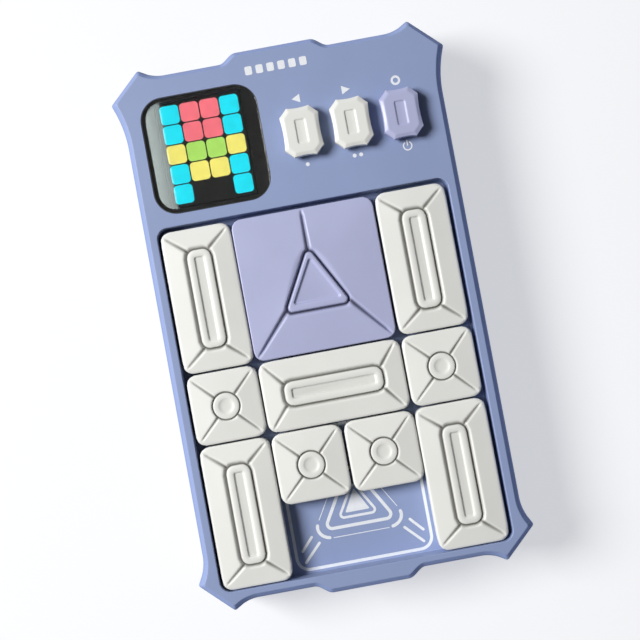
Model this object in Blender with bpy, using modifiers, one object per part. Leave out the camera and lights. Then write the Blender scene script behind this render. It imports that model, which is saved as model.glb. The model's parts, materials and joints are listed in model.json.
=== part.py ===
"""Hand-held electronic sliding-block puzzle, lying on its back.

The origin is on the surface under the feet, below the middle of the case. +X is to the right of the
front face, +Y is towards the screen end and +Z comes out of the front face. Lengths are in metres.
"""
import math

import bmesh
import bpy
from mathutils import Matrix, Vector

MM = 0.001
GAP = 0.3 * MM                 # clearance between pieces that meet

# Case outline, as half sizes from the middle
CASE_SIDE = 44.2 * MM          # straight sides
EAR_SIDE = 46.8 * MM           # widest point of the four ears
CASE_END = 75.7 * MM           # ears and raised middles of the two ends
DIP_END = 73.2 * MM            # dips between them
CREST_HALF = 10.5 * MM         # half width of a raised middle
CREST_RAMP = 5.0 * MM          # width of the slope beside it
EAR_TOP = 38.0 * MM            # where an ear's clipped corner starts
EAR_CLIP = 8.4 * MM            # length of the clipped corner along the side
EAR_DIP = 7.0 * MM             # width of the slope from an ear into the dip
EAR_SWEEP_SCREEN = 13.0 * MM   # length of an ear's sweep into the side, at the screen end
EAR_SWEEP_TRAY = 8.0 * MM      # the same at the tray end
EAR_ROUND = 0.8 * MM

# Case heights
BACK_Z = 0.8 * MM              # back face, which the feet hold clear of the table
WALL = 2.0 * MM
ROOT = 1.0 * MM                # how far a post or a rib reaches into the wall it stands on
SEAM_LOW = 12.0 * MM           # top of the back cover's side
SEAM_HIGH = SEAM_LOW + GAP     # bottom of the front housing's side
FACE_Z = 22.6 * MM             # front face
FRONT_CHAMFER = 1.5 * MM
BACK_CHAMFER = 2.0 * MM
CAVITY_X = 42.0 * MM           # half sizes of the hollow inside the case
CAVITY_Y = 71.0 * MM
CAVITY_ROUND = 4.0 * MM
LIP_THICK = 1.0 * MM           # lip of the back cover that stands up inside the front housing
LIP_HIGH = 1.8 * MM
CEILING_Z = 20.2 * MM          # inside of the front wall above the tray's end
END_WALL = 1.7 * MM            # wall between the tray and the hollow behind the screen

# Tray and tiles
CELL = 20.0 * MM
TILE_GAP = 0.5 * MM
COLUMNS = 4
ROWS = 5
TRAY_SIZE = (81.2 * MM, 101.0 * MM)
TRAY_Y = -19.6 * MM            # middle of the tray
TRAY_ROUND = 3.0 * MM
TRAY_FLOOR = 16.6 * MM         # top of the tray floor
TRAY_FLOOR_WALL = 1.4 * MM
TILE_SHIFT = (-0.2 * MM, -0.45 * MM)  # the tiles lie towards one corner of the tray
TILE_ROUND = 2.8 * MM
TILE_LOW = TRAY_FLOOR + GAP
TILE_EAVE = 21.9 * MM          # top edge of a tile's side
TILE_TOP = 22.5 * MM           # flat middle of a tile's hipped top
TILE_RISE = 6.2 * MM           # run of the slope between them
TILE_TOP_ROUND = 1.0 * MM
TILE_WALL = 1.3 * MM
TILE_CEILING = 20.6 * MM       # inside of a tile cap's top
BASE_THICK = 1.0 * MM
MAGNET = (3.0 * MM, 2.0 * MM)  # radius, thickness

# name, column and row of the top left cell, columns and rows covered, how far it has slipped to the right
TILES = (
    ("tall_tile_1", 0, 0, 1, 2, 0.0),
    ("large_tile", 1, 0, 2, 2, -0.2 * MM),
    ("tall_tile_2", 3, 0, 1, 2, 0.0),
    ("small_tile_1", 0, 2, 1, 1, 0.0),
    ("wide_tile", 1, 2, 2, 1, 0.0),
    ("small_tile_2", 3, 2, 1, 1, 0.0),
    ("tall_tile_3", 0, 3, 1, 2, 0.0),
    ("small_tile_3", 1, 3, 1, 1, 0.0),
    ("small_tile_4", 2, 3, 1, 1, 0.2 * MM),
    ("tall_tile_4", 3, 3, 1, 2, 0.0),
)

# Screen
SCREEN_AT = (-23.0 * MM, 50.4 * MM)
LENS_SIZE = (32.0 * MM, 31.8 * MM)
LENS_ROUND = 6.0 * MM
LENS_LOW = 21.5 * MM
LENS_CROWN = 0.3 * MM          # rise of the dome over the lens edge
LENS_DOME = 11.0 * MM          # width of the domed band round its flat middle
LENS_STEPS = 4
LEDGE_Z = LENS_LOW - GAP       # shelf that the lens is glued to
GRID_SIZE = (23.6 * MM, 29.0 * MM)
GRID_Z = (17.6 * MM, 20.5 * MM)
LIGHT_COLUMNS = 4
LIGHT_ROWS = 5
LIGHT_PITCH = 5.56 * MM
LIGHT_CELL = 4.9 * MM          # hole in the light grid behind one light cell
DIFFUSER_Z = (20.8 * MM, 21.2 * MM)

# Buttons
BUTTON_NAMES = ("button_left", "button_right", "button_power")
BUTTON_X = 3.75 * MM           # first button
BUTTON_PITCH = 13.8 * MM
BUTTON_Y = 49.8 * MM
BUTTON_SIZE = (10.8 * MM, 13.7 * MM)
BUTTON_CLIP = 2.3 * MM         # corner cut of the octagonal cap
BUTTON_CAP_LOW = 23.8 * MM     # underside of the cap, clear of the face by more than its travel
BUTTON_TOP = 26.2 * MM
BUTTON_SLOPE = (1.2 * MM, 0.5 * MM)   # width and height of the cap's sloping edge
BUTTON_GROOVE = (3.0 * MM, 6.7 * MM, 0.3 * MM)      # width, length and depth of the finger groove
BUTTON_GROOVE_ROUND = 0.6 * MM
BUTTON_NECK = (8.0 * MM, 10.6 * MM)
BUTTON_HOOK = 0.9 * MM         # reach of the snap hooks past the neck
BUTTON_HOOK_WIDTH = 6.0 * MM
BUTTON_HOOK_Z = (19.3 * MM, 19.9 * MM)

# Boards and plates
MAIN_BOARD_Z = (15.7 * MM, 16.7 * MM)
MAIN_BOARD_SIDE = ((41.0 * MM, 33.2 * MM), (41.0 * MM, 58.0 * MM), (29.5 * MM, 70.4 * MM))   # its right edge
BOARD_ROOT = 0.5 * MM          # how far the parts on a board reach into it
LED = (1.8 * MM, 0.6 * MM)     # side and height of one light diode
SWITCH = (6.0 * MM, 1.4 * MM)  # side and height of one switch
SWITCH_PLUNGER = (1.6 * MM, 0.4 * MM)
SENSOR_BOARD_Z = (13.7 * MM, 14.9 * MM)
SENSOR_BOARD_X = 40.0 * MM     # half width
SENSOR_BOARD_Y = (-68.0 * MM, 29.5 * MM)
KEEPER_Z = (12.9 * MM, 13.4 * MM)
KEEPER_X = 38.5 * MM
KEEPER_Y = (-67.0 * MM, 28.5 * MM)
PLATE_CLIP = 7.0 * MM          # corners cut away beside the screw bosses

# Batteries, their bay and its door
BAY_Y = 51.8 * MM              # middle of the bay
BATTERY_RADIUS = 5.25 * MM
BATTERY_LENGTH = 43.7 * MM     # without the nub
BATTERY_NUB = (1.9 * MM, 0.8 * MM)
BATTERY_EDGE = 0.4 * MM
BATTERY_PITCH = 11.0 * MM
BATTERY_Z = 8.65 * MM          # height of the batteries' axes
BAY_HALF = (26.3 * MM, 16.6 * MM)
BAY_TOP = 14.2 * MM
TUB_HALF = (28.5 * MM, 18.5 * MM)
TUB_TOP = 15.4 * MM
SEAT_X = (-29.2 * MM, 35.4 * MM)      # thick part of the back wall round the door
SEAT_LOW = 1.0 * MM
SEAT_TOP = 4.6 * MM
DOOR_HINGE_X = -27.6 * MM      # edge with the tabs, which the door swings on
DOOR_LENGTH = 61.0 * MM
DOOR_HALF = 17.2 * MM
DOOR_THICK = 2.0 * MM
DOOR_ROUND = 1.0 * MM
TAB_Y = 5.5 * MM
TAB_WIDTH = 5.0 * MM
TAB_X = (-1.6 * MM, 1.8 * MM)         # from the hinge line
TAB_ROOT_X = 0.6 * MM
TAB_Z = (2.5 * MM, 3.5 * MM)          # from the door's outer face
DOOR_SCREW_X = 30.5 * MM
DOOR_BOSS = (3.0 * MM, 9.0 * MM)      # radius, and height of its top
DOOR_HOLE_END = 8.0 * MM
DOOR_HEAD_DEEP = 1.3 * MM             # depth of the screw's seat in the door
CONTACT = (8.0 * MM, 0.5 * MM)        # width and thickness of a contact plate
CONTACT_Z = (5.2 * MM, 12.6 * MM)
SPRING_LENGTH = 4.4 * MM
SPRING_RADII = (3.6 * MM, 2.0 * MM)   # at the plate and at the battery
PAD_LENGTH = 0.6 * MM
PAD_RADII = (2.6 * MM, 1.8 * MM)

# Fasteners, feet, speaker
SCREW_AT = (38.6 * MM, 67.2 * MM)     # and mirrored to the other three corners
SCREW_POST = 3.6 * MM                 # radius of the back cover's posts
SCREW_BOSS = 3.2 * MM                 # radius of the front housing's bosses
SCREW_HOLE = 1.5 * MM
SCREW_HOLE_END = 14.8 * MM            # where the holes in the front housing's bosses stop
SCREW_HEAD_Z = 3.0 * MM               # the heads sit deep in the posts
SCREW_HEAD = (2.5 * MM, 2.0 * MM)
SCREW_SHANK = (1.2 * MM, 9.4 * MM)
SCREW_POINT = 0.5 * MM
SCREW_EDGE = 0.4 * MM
DOOR_SCREW_HEAD = (2.5 * MM, 0.9 * MM)
DOOR_SCREW_SHANK = (1.0 * MM, 5.4 * MM)
DOOR_SCREW_Z = 0.9 * MM
FOOT_X = 38.2 * MM                    # left and right of the middle
FOOT_ROWS = (46.0 * MM, -57.0 * MM)
FOOT_RADIUS = 3.4 * MM
FOOT_THICK = 1.6 * MM
FOOT_EDGE = 0.3 * MM
SPEAKER_AT = (0.0, -40.0 * MM)
SPEAKER_RADIUS = 10.5 * MM
SPEAKER_THICK = 4.2 * MM
SPEAKER_FRAME = 1.4 * MM
SPEAKER_RIM = 1.5 * MM
SPEAKER_CONE = (3.0 * MM, 1.0 * MM)   # radius and depth where the cone meets its dome
SPEAKER_DOME = 0.7 * MM
SPEAKER_RING = (12.1 * MM, 2.4 * MM)  # outer radius and height of the ring that holds it
GRILLE_HOLE = 0.9 * MM                # radius
GRILLE_RINGS = ((6, 3.4 * MM), (12, 6.8 * MM))   # holes in a ring, and its radius
PILLAR_RADIUS = 2.0 * MM
PILLARS = ((-27.0 * MM, 18.0 * MM), (27.0 * MM, 18.0 * MM), (-27.0 * MM, -20.0 * MM),
           (27.0 * MM, -20.0 * MM), (-22.0 * MM, -58.0 * MM), (22.0 * MM, -58.0 * MM))

# Colours, as linear red, green and blue
BLUE = (0.300, 0.370, 0.590)
WHITE = (0.800, 0.795, 0.770)
LILAC = (0.450, 0.450, 0.680)
DARK = (0.020, 0.021, 0.024)
GREEN = (0.030, 0.160, 0.070)
STEEL = (0.560, 0.560, 0.570)
CELL_WRAP = (0.050, 0.050, 0.060)


# ---------------------------------------------------------------- scene and materials

def clear_scene():
    """Remove whatever the scene starts with."""
    for item in list(bpy.data.objects):
        bpy.data.objects.remove(item, do_unlink=True)


def new_collection(name):
    group = bpy.data.collections.new(name)
    bpy.context.scene.collection.children.link(group)
    return group


def material(name, colour, roughness, metallic=0.0):
    """A Principled BSDF material, made once for each name."""
    if name in bpy.data.materials:
        return bpy.data.materials[name]
    made = bpy.data.materials.new(name)
    made.use_nodes = True
    shader = made.node_tree.nodes["Principled BSDF"]
    shader.inputs["Base Color"].default_value = (*colour, 1.0)
    shader.inputs["Roughness"].default_value = roughness
    shader.inputs["Metallic"].default_value = metallic
    return made


# ---------------------------------------------------------------- outlines

def rectangle(width, height, x=0.0, y=0.0):
    """Corners of a rectangle, anticlockwise, round (x, y)."""
    return [(x + sx * width / 2, y + sy * height / 2) for sx, sy in ((1, -1), (1, 1), (-1, 1), (-1, -1))]


def span(x_range, y_range):
    """Corners of the rectangle between two ranges."""
    return rectangle(x_range[1] - x_range[0], y_range[1] - y_range[0], sum(x_range) / 2, sum(y_range) / 2)


def octagon(width, height, clip):
    """A rectangle with its corners cut off."""
    across, up = width / 2, height / 2
    quarter = [(across, up - clip), (across - clip, up)]
    left = [(-x, y) for x, y in reversed(quarter)]
    return quarter + left + [(-x, -y) for x, y in quarter] + [(-x, -y) for x, y in left]


def round_corners(outline, radius, steps=3, sharpest=math.radians(30)):
    """Replace each corner that turns by more than `sharpest` with a small curve."""
    rounded = []
    for before, corner, after in zip(outline[-1:] + outline[:-1], outline, outline[1:] + outline[:1]):
        corner = Vector(corner)
        back = (Vector(before) - corner).normalized()
        ahead = (Vector(after) - corner).normalized()
        turn = math.pi - back.angle(ahead)
        if turn < sharpest:
            rounded.append(tuple(corner))
            continue
        reach = radius * math.tan(turn / 2)
        for step in range(steps + 1):
            t = step / steps
            point = corner + back * reach * (1 - t) ** 2 + ahead * reach * t ** 2
            rounded.append(tuple(point))
    return rounded


def inset(outline, distance):
    """Move every edge of an anticlockwise outline inwards by the same distance."""
    moved = []
    for before, corner, after in zip(outline[-1:] + outline[:-1], outline, outline[1:] + outline[:1]):
        edge_in = (Vector(corner) - Vector(before)).normalized()
        edge_out = (Vector(after) - Vector(corner)).normalized()
        normal_in = Vector((-edge_in.y, edge_in.x))
        normal_out = Vector((-edge_out.y, edge_out.x))
        mitre = (normal_in + normal_out).normalized()
        moved.append(tuple(Vector(corner) + mitre * distance / mitre.dot(normal_in)))
    return moved


def case_quarter(sweep):
    """The case outline from the straight right side, round one ear, to the raised middle of the end."""
    ear_low = CASE_END - EAR_CLIP
    points = []
    for step in range(5):
        t = step / 4
        points.append((CASE_SIDE + (EAR_SIDE - CASE_SIDE) * t * t, ear_low - sweep * (1 - t)))
    for step in range(5):
        t = step / 4
        points.append((EAR_TOP - EAR_DIP * t, DIP_END + (CASE_END - DIP_END) * (1 - t) ** 2))
    for step in range(6):
        t = step / 5
        rise = (1 - math.cos(math.pi * t)) / 2
        points.append((CREST_HALF + CREST_RAMP * (1 - t), DIP_END + (CASE_END - DIP_END) * rise))
    return points


def case_outline(inwards=0.0):
    """The whole case outline, anticlockwise, optionally moved inwards."""
    screen_end = case_quarter(EAR_SWEEP_SCREEN)
    tray_end = [(x, -y) for x, y in reversed(case_quarter(EAR_SWEEP_TRAY))]
    right = tray_end + screen_end
    left = [(-x, y) for x, y in reversed(right)]
    return round_corners(inset(right + left, inwards), EAR_ROUND)


# ---------------------------------------------------------------- solids

def add_object(name, mesh_maker, group, at=(0.0, 0.0, 0.0), finish=None):
    """Make an object from a filled bmesh. Without a finish it is a cutter or a shape to be joined."""
    bmesh.ops.recalc_face_normals(mesh_maker, faces=mesh_maker.faces)
    mesh = bpy.data.meshes.new(name)
    mesh_maker.to_mesh(mesh)
    mesh_maker.free()
    made = bpy.data.objects.new(name, mesh)
    made.location = at
    group.objects.link(made)
    if finish:
        mesh.materials.append(finish)
    else:
        made.hide_render = True
        made.display_type = "WIRE"
    return made


def prism(name, outline, z_range, group, **where):
    """A flat outline extruded from z_range[0] to z_range[1]."""
    maker = bmesh.new()
    face = maker.faces.new([maker.verts.new((x, y, z_range[0])) for x, y in outline])
    lifted = bmesh.ops.extrude_face_region(maker, geom=[face])["geom"]
    corners = [item for item in lifted if isinstance(item, bmesh.types.BMVert)]
    bmesh.ops.translate(maker, vec=(0, 0, z_range[1] - z_range[0]), verts=corners)
    return add_object(name, maker, group, **where)


def loft(name, sections, group, **where):
    """A skin over outlines with equal numbers of points, closed at the first and the last one."""
    maker = bmesh.new()
    rings = [[maker.verts.new((x, y, z)) for x, y in outline] for outline, z in sections]
    for low, high in zip(rings, rings[1:]):
        for here in range(len(low)):
            before = here - 1
            maker.faces.new((low[before], low[here], high[here], high[before]))
    maker.faces.new(rings[0])
    maker.faces.new(rings[-1])
    return add_object(name, maker, group, **where)


def boxes(name, spans, group, **where):
    """Boxes in one mesh, each given as its X, Y and Z range."""
    maker = bmesh.new()
    for ranges in spans:
        size = [high - low for low, high in ranges]
        middle = [(high + low) / 2 for low, high in ranges]
        fit = Matrix.Translation(middle) @ Matrix.Diagonal((*size, 1.0))
        bmesh.ops.create_cube(maker, size=1.0, matrix=fit)
    return add_object(name, maker, group, **where)


def cylinders(name, spots, radius, z_range, group, sides=16, **where):
    """Upright cylinders in one mesh, one at each (x, y) spot."""
    maker = bmesh.new()
    for x, y in spots:
        bmesh.ops.create_cone(maker, cap_ends=True, segments=sides, radius1=radius, radius2=radius,
                              depth=z_range[1] - z_range[0],
                              matrix=Matrix.Translation((x, y, sum(z_range) / 2)))
    return add_object(name, maker, group, **where)


def turned(name, profile, group, steps, finish, at=(0.0, 0.0, 0.0), lay=None):
    """A turned solid from (radius, height) points that run down its outer side from the axis to the axis."""
    mesh = bpy.data.meshes.new(name)
    edges = [(here, here + 1) for here in range(len(profile) - 1)]
    mesh.from_pydata([(radius, 0.0, height) for radius, height in profile], edges, [])
    mesh.materials.append(finish)
    made = bpy.data.objects.new(name, mesh)
    made.location = at
    if lay:
        made.rotation_euler = lay
    group.objects.link(made)
    spin = made.modifiers.new("turn", "SCREW")
    spin.steps = steps
    spin.render_steps = steps
    spin.use_merge_vertices = True
    spin.merge_threshold = 0.00001
    return made


def boolean(target, tool, operation):
    step = target.modifiers.new(tool.name, "BOOLEAN")
    step.operation = operation
    step.object = tool
    step.solver = "EXACT"


def cut(target, *tools):
    for tool in tools:
        boolean(target, tool, "DIFFERENCE")


def join(target, *tools):
    for tool in tools:
        boolean(target, tool, "UNION")


def hollow_outline(outwards=0.0):
    """Outline of the hollow inside both shells, optionally moved outwards."""
    return round_corners(rectangle(2 * (CAVITY_X + outwards), 2 * (CAVITY_Y + outwards)), CAVITY_ROUND)


def mirrored(spot):
    """One spot in each quarter of the case."""
    return [(sx * spot[0], sy * spot[1]) for sx in (-1, 1) for sy in (1, -1)]


# ---------------------------------------------------------------- case

def front_housing(parts, tools):
    """Front shell, with the tray, the screen recess and the button holes."""
    blue = material("case_plastic", BLUE, 0.45)
    shell = loft("front_housing", [
        (case_outline(), SEAM_HIGH),
        (case_outline(), FACE_Z - FRONT_CHAMFER),
        (case_outline(FRONT_CHAMFER), FACE_Z),
    ], parts, finish=blue)
    tray_end = TRAY_Y + TRAY_SIZE[1] / 2
    under_tray = TRAY_FLOOR - TRAY_FLOOR_WALL
    upper = round_corners(span((-CAVITY_X, CAVITY_X), (tray_end + END_WALL, CAVITY_Y)), CAVITY_ROUND / 2)
    tray = round_corners(rectangle(*TRAY_SIZE, 0.0, TRAY_Y), TRAY_ROUND, 4)
    recess = round_corners(rectangle(LENS_SIZE[0] + 2 * GAP, LENS_SIZE[1] + 2 * GAP, *SCREEN_AT),
                           LENS_ROUND + GAP, 5)
    window = rectangle(GRID_SIZE[0] + 2 * GAP, GRID_SIZE[1] + 2 * GAP, *SCREEN_AT)
    neck = rectangle(BUTTON_NECK[0] + 2 * GAP, BUTTON_NECK[1] + 2 * GAP)
    cut(shell,
        prism("hollow_cut", hollow_outline(), (SEAM_LOW - WALL, under_tray), tools),
        prism("lip_seat_cut", hollow_outline(LIP_THICK + GAP),
              (SEAM_LOW - WALL, SEAM_LOW + LIP_HIGH + GAP), tools),
        prism("upper_hollow_cut", upper, (under_tray - WALL, CEILING_Z), tools),
        prism("tray_cut", tray, (TRAY_FLOOR, FACE_Z + WALL), tools),
        prism("lens_recess_cut", recess, (LEDGE_Z, FACE_Z + WALL), tools),
        prism("window_cut", window, (CEILING_Z - WALL, FACE_Z), tools))
    for place, x in enumerate(button_places()):
        cut(shell, prism(f"button_hole_{place}", neck, (CEILING_Z - WALL, FACE_Z + WALL), tools,
                         at=(x, BUTTON_Y, 0.0)))
    for side, (x, y) in enumerate(mirrored(SCREW_AT)):
        root = CEILING_Z if y > 0 else under_tray
        join(shell, cylinders(f"boss_{side}", [(x, y)], SCREW_BOSS, (SEAM_HIGH + GAP, root + GAP), tools))
    cut(shell, cylinders("pilot_cut", mirrored(SCREW_AT), SCREW_HOLE,
                         (SEAM_LOW - WALL, SCREW_HOLE_END), tools, sides=12))


def back_cover(parts, tools):
    """Back shell, with the battery bay, the screw posts, the pillars and the speaker grille."""
    blue = material("back_plastic", BLUE, 0.55)
    inside = BACK_Z + WALL
    shell = loft("back_cover", [
        (case_outline(BACK_CHAMFER), BACK_Z),
        (case_outline(), BACK_Z + BACK_CHAMFER),
        (case_outline(), SEAM_LOW),
    ], parts, finish=blue)
    join(shell, prism("lip", hollow_outline(LIP_THICK), (SEAM_LOW - WALL, SEAM_LOW + LIP_HIGH), tools))
    cut(shell, prism("back_hollow_cut", hollow_outline(), (inside, SEAM_LOW + 2 * WALL), tools))

    bay_range = (BAY_Y - TUB_HALF[1], BAY_Y + TUB_HALF[1])
    ledge = BACK_Z + DOOR_THICK + GAP
    tub_span = ((-TUB_HALF[0], TUB_HALF[0]), bay_range, (SEAT_TOP - WALL, TUB_TOP))
    join(shell,
         boxes("door_seat", [(SEAT_X, bay_range, (SEAT_LOW, SEAT_TOP))], tools),
         boxes("battery_tub", [tub_span], tools))
    pocket_x = (DOOR_HINGE_X - GAP, DOOR_HINGE_X + DOOR_LENGTH + GAP)
    pocket_y = (BAY_Y - DOOR_HALF - GAP, BAY_Y + DOOR_HALF + GAP)
    bay_y = (BAY_Y - BAY_HALF[1], BAY_Y + BAY_HALF[1])
    slot_x = (SEAT_X[0] - ROOT, DOOR_HINGE_X + TAB_X[1] + GAP)
    slot_z = (BACK_Z + TAB_Z[0] - GAP, BACK_Z + TAB_Z[1] + 2 * GAP)
    slot_half = TAB_WIDTH / 2 + GAP
    slots = [(slot_x, (BAY_Y + y - slot_half, BAY_Y + y + slot_half), slot_z) for y in (-TAB_Y, TAB_Y)]
    cut(shell,
        boxes("door_pocket_cut", [(pocket_x, pocket_y, (BACK_Z - WALL, ledge))], tools),
        boxes("bay_cut", [((-BAY_HALF[0], BAY_HALF[0]), bay_y, (BACK_Z, BAY_TOP))], tools),
        boxes("tab_slot_cut", slots, tools))

    door_screw = [(DOOR_SCREW_X, BAY_Y)]
    join(shell,
         cylinders("door_screw_boss", door_screw, DOOR_BOSS[0], (SEAT_TOP - ROOT, DOOR_BOSS[1]), tools),
         cylinders("screw_posts", mirrored(SCREW_AT), SCREW_POST, (BACK_Z + ROOT, SEAM_HIGH), tools),
         cylinders("board_pillars", PILLARS, PILLAR_RADIUS, (BACK_Z + ROOT, KEEPER_Z[0] - GAP),
                   tools, sides=10),
         cylinders("speaker_ring", [SPEAKER_AT], SPEAKER_RING[0], (BACK_Z + ROOT, inside + SPEAKER_RING[1]),
                   tools, sides=32))
    recess_top = FOOT_THICK + GAP
    cut(shell,
        cylinders("door_pilot_cut", door_screw, SCREW_HOLE, (BACK_Z, DOOR_HOLE_END), tools, sides=12),
        cylinders("counterbore_cut", mirrored(SCREW_AT), SCREW_HEAD[0] + GAP,
                  (0.0, SCREW_HEAD_Z + SCREW_HEAD[1] + GAP), tools),
        cylinders("screw_hole_cut", mirrored(SCREW_AT), SCREW_HOLE,
                  (BACK_Z, SEAM_HIGH + WALL), tools, sides=12),
        cylinders("speaker_seat_cut", [SPEAKER_AT], SPEAKER_RADIUS + GAP,
                  (inside, inside + WALL * 2), tools, sides=32),
        cylinders("grille_cut", grille_spots(), GRILLE_HOLE, (0.0, inside + ROOT), tools, sides=8),
        cylinders("foot_cut", foot_spots(), FOOT_RADIUS + GAP, (0.0, recess_top), tools, sides=20))


def grille_spots():
    """A hole in the middle, and two rings of holes round it."""
    spots = [SPEAKER_AT]
    for count, radius in GRILLE_RINGS:
        for turn in range(count):
            angle = 2 * math.pi * turn / count
            spots.append((SPEAKER_AT[0] + radius * math.cos(angle), SPEAKER_AT[1] + radius * math.sin(angle)))
    return spots


def battery_door(parts, tools):
    """Door plate with two tabs. Its origin is on the line it swings about."""
    blue = material("door_plastic", BLUE, 0.55)
    hinge = (DOOR_HINGE_X, BAY_Y, BACK_Z)
    plate = round_corners(span((0.0, DOOR_LENGTH), (-DOOR_HALF, DOOR_HALF)), DOOR_ROUND)
    door = prism("battery_door", plate, (0.0, DOOR_THICK), parts, at=hinge, finish=blue)
    for side in (-1, 1):
        across = (side * TAB_Y - TAB_WIDTH / 2, side * TAB_Y + TAB_WIDTH / 2)
        tab = boxes(f"tab_{side}", [(TAB_X, across, TAB_Z)], tools, at=hinge)
        root_span = ((TAB_ROOT_X, TAB_X[1]), across, (DOOR_THICK / 2, (TAB_Z[0] + TAB_Z[1]) / 2))
        root = boxes(f"tab_root_{side}", [root_span], tools, at=hinge)
        join(door, root, tab)
    hole = [(DOOR_SCREW_X - DOOR_HINGE_X, 0.0)]
    cut(door,
        cylinders("door_head_cut", hole, SCREW_HEAD[0] + GAP, (-WALL, DOOR_HEAD_DEEP), tools, at=hinge),
        cylinders("door_hole_cut", hole, SCREW_HOLE, (0.0, 2 * WALL), tools, sides=12, at=hinge))


def screw(name, parts, at, head, shank):
    """A pan-head screw that points up, with its head's flat side at the bottom."""
    radius, thick = head
    shank_radius, shank_long = shank
    end = thick + shank_long
    profile = [(0.0, end), (shank_radius - SCREW_POINT, end), (shank_radius, end - SCREW_POINT),
               (shank_radius, thick), (radius, thick), (radius, SCREW_EDGE), (radius - SCREW_EDGE, 0.0),
               (0.0, 0.0)]
    turned(name, profile, parts, 16, material("screw_steel", STEEL, 0.3, 1.0), at)


def fasteners(parts):
    for count, (x, y) in enumerate(mirrored(SCREW_AT), 1):
        screw(f"case_screw_{count}", parts, (x, y, SCREW_HEAD_Z), SCREW_HEAD, SCREW_SHANK)
    screw("battery_door_screw", parts, (DOOR_SCREW_X, BAY_Y, DOOR_SCREW_Z), DOOR_SCREW_HEAD, DOOR_SCREW_SHANK)


def foot_spots():
    return [(x, y) for x in (-FOOT_X, FOOT_X) for y in FOOT_ROWS]


def rubber_feet(parts):
    """Round pads with a softened lower edge."""
    rubber = material("foot_rubber", DARK, 0.8)
    profile = [(0.0, FOOT_THICK), (FOOT_RADIUS, FOOT_THICK), (FOOT_RADIUS, FOOT_EDGE),
               (FOOT_RADIUS - FOOT_EDGE, 0.0), (0.0, 0.0)]
    for count, (x, y) in enumerate(foot_spots(), 1):
        turned(f"rubber_foot_{count}", profile, parts, 20, rubber, (x, y, 0.0))


# ---------------------------------------------------------------- batteries

def batteries(parts):
    """Three cells side by side, turned end for end in turn."""
    skin = material("cell_wrap", CELL_WRAP, 0.35, 0.3)
    nub, nub_high = BATTERY_NUB
    radius, end, edge = BATTERY_RADIUS, BATTERY_LENGTH, BATTERY_EDGE
    profile = [(0.0, end + nub_high), (nub, end + nub_high), (nub, end), (radius - edge, end),
               (radius, end - edge), (radius, edge), (radius - edge, 0.0), (0.0, 0.0)]
    start = BAY_HALF[0] - GAP - CONTACT[1] - SPRING_LENGTH - 2 * GAP
    for place in range(3):
        facing = -1 if place % 2 == 0 else 1
        at = (-facing * start, BAY_Y + (place - 1) * BATTERY_PITCH, BATTERY_Z)
        turned(f"battery_{place + 1}", profile, parts, 20, skin, at, (0.0, facing * math.pi / 2, 0.0))


def contact(name, parts, tools, side, plate_y, springs, pads):
    """A contact plate at one end of the bay, with a spring cone or a pressed pad at each cell it serves."""
    finish = material("contact_plate", STEEL, 0.25, 1.0)
    outer = side * (BAY_HALF[0] - GAP)
    inner = outer - side * CONTACT[1]
    low, high = sorted((outer, inner))
    plate = boxes(name, [((low, high), plate_y, CONTACT_Z)], parts, finish=finish)
    for kind, rows, reach, radii in (("spring", springs, SPRING_LENGTH, SPRING_RADII),
                                     ("pad", pads, PAD_LENGTH, PAD_RADII)):
        for row in rows:
            maker = bmesh.new()
            lie = Matrix.Rotation(-side * math.pi / 2, 4, "Y")
            middle_x = inner - side * (reach - CONTACT[1]) / 2
            middle = (middle_x, BAY_Y + row * BATTERY_PITCH, BATTERY_Z)
            bmesh.ops.create_cone(maker, cap_ends=True, segments=12, radius1=radii[0], radius2=radii[1],
                                  depth=reach + CONTACT[1] / 2, matrix=Matrix.Translation(middle) @ lie)
            join(plate, add_object(f"{name}_{kind}", maker, tools))


def contacts(parts, tools):
    """Two end contacts and two bridges put the three cells in series."""
    def across(first, last):
        return (BAY_Y + first * BATTERY_PITCH - CONTACT[0] / 2, BAY_Y + last * BATTERY_PITCH + CONTACT[0] / 2)
    contact("battery_contact_positive", parts, tools, -1, across(-1, -1), (), (-1,))
    contact("battery_bridge_right", parts, tools, 1, across(-1, 0), (-1,), (0,))
    contact("battery_bridge_left", parts, tools, -1, across(0, 1), (0,), (1,))
    contact("battery_contact_negative", parts, tools, 1, across(1, 1), (1,), ())


# ---------------------------------------------------------------- electronics

def light_spots():
    """Middles of the light cells."""
    return [(SCREEN_AT[0] + (column - (LIGHT_COLUMNS - 1) / 2) * LIGHT_PITCH,
             SCREEN_AT[1] + (row - (LIGHT_ROWS - 1) / 2) * LIGHT_PITCH)
            for column in range(LIGHT_COLUMNS) for row in range(LIGHT_ROWS)]


def square_spans(spots, side, z_range):
    return [((x - side / 2, x + side / 2), (y - side / 2, y + side / 2), z_range) for x, y in spots]


def main_board(parts, tools):
    """Board behind the screen and the buttons, with the light diodes and the switches on it."""
    low, high = MAIN_BOARD_Z
    left = [(-x, y) for x, y in reversed(MAIN_BOARD_SIDE)]
    board = prism("main_board", list(MAIN_BOARD_SIDE) + left, MAIN_BOARD_Z, parts,
                  finish=material("board_green", GREEN, 0.4))
    buttons = [(x, BUTTON_Y) for x in button_places()]
    join(board,
         boxes("leds", square_spans(light_spots(), LED[0], (low + BOARD_ROOT, high + LED[1])), tools),
         boxes("switches", square_spans(buttons, SWITCH[0], (low + BOARD_ROOT, high + SWITCH[1])), tools),
         cylinders("plungers", buttons, SWITCH_PLUNGER[0],
                   (high + SWITCH[1] / 2, high + SWITCH[1] + SWITCH_PLUNGER[1]), tools, sides=12))


def tray_plate(name, parts, z_range, half_width, ends, finish):
    """A plate under the tray, with its corners cut away from the screw bosses."""
    low, high = ends
    clip = PLATE_CLIP
    prism(name, [(-half_width, low + clip), (-half_width + clip, low), (half_width - clip, low),
                 (half_width, low + clip), (half_width, high), (-half_width, high)],
          z_range, parts, finish=finish)


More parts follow.
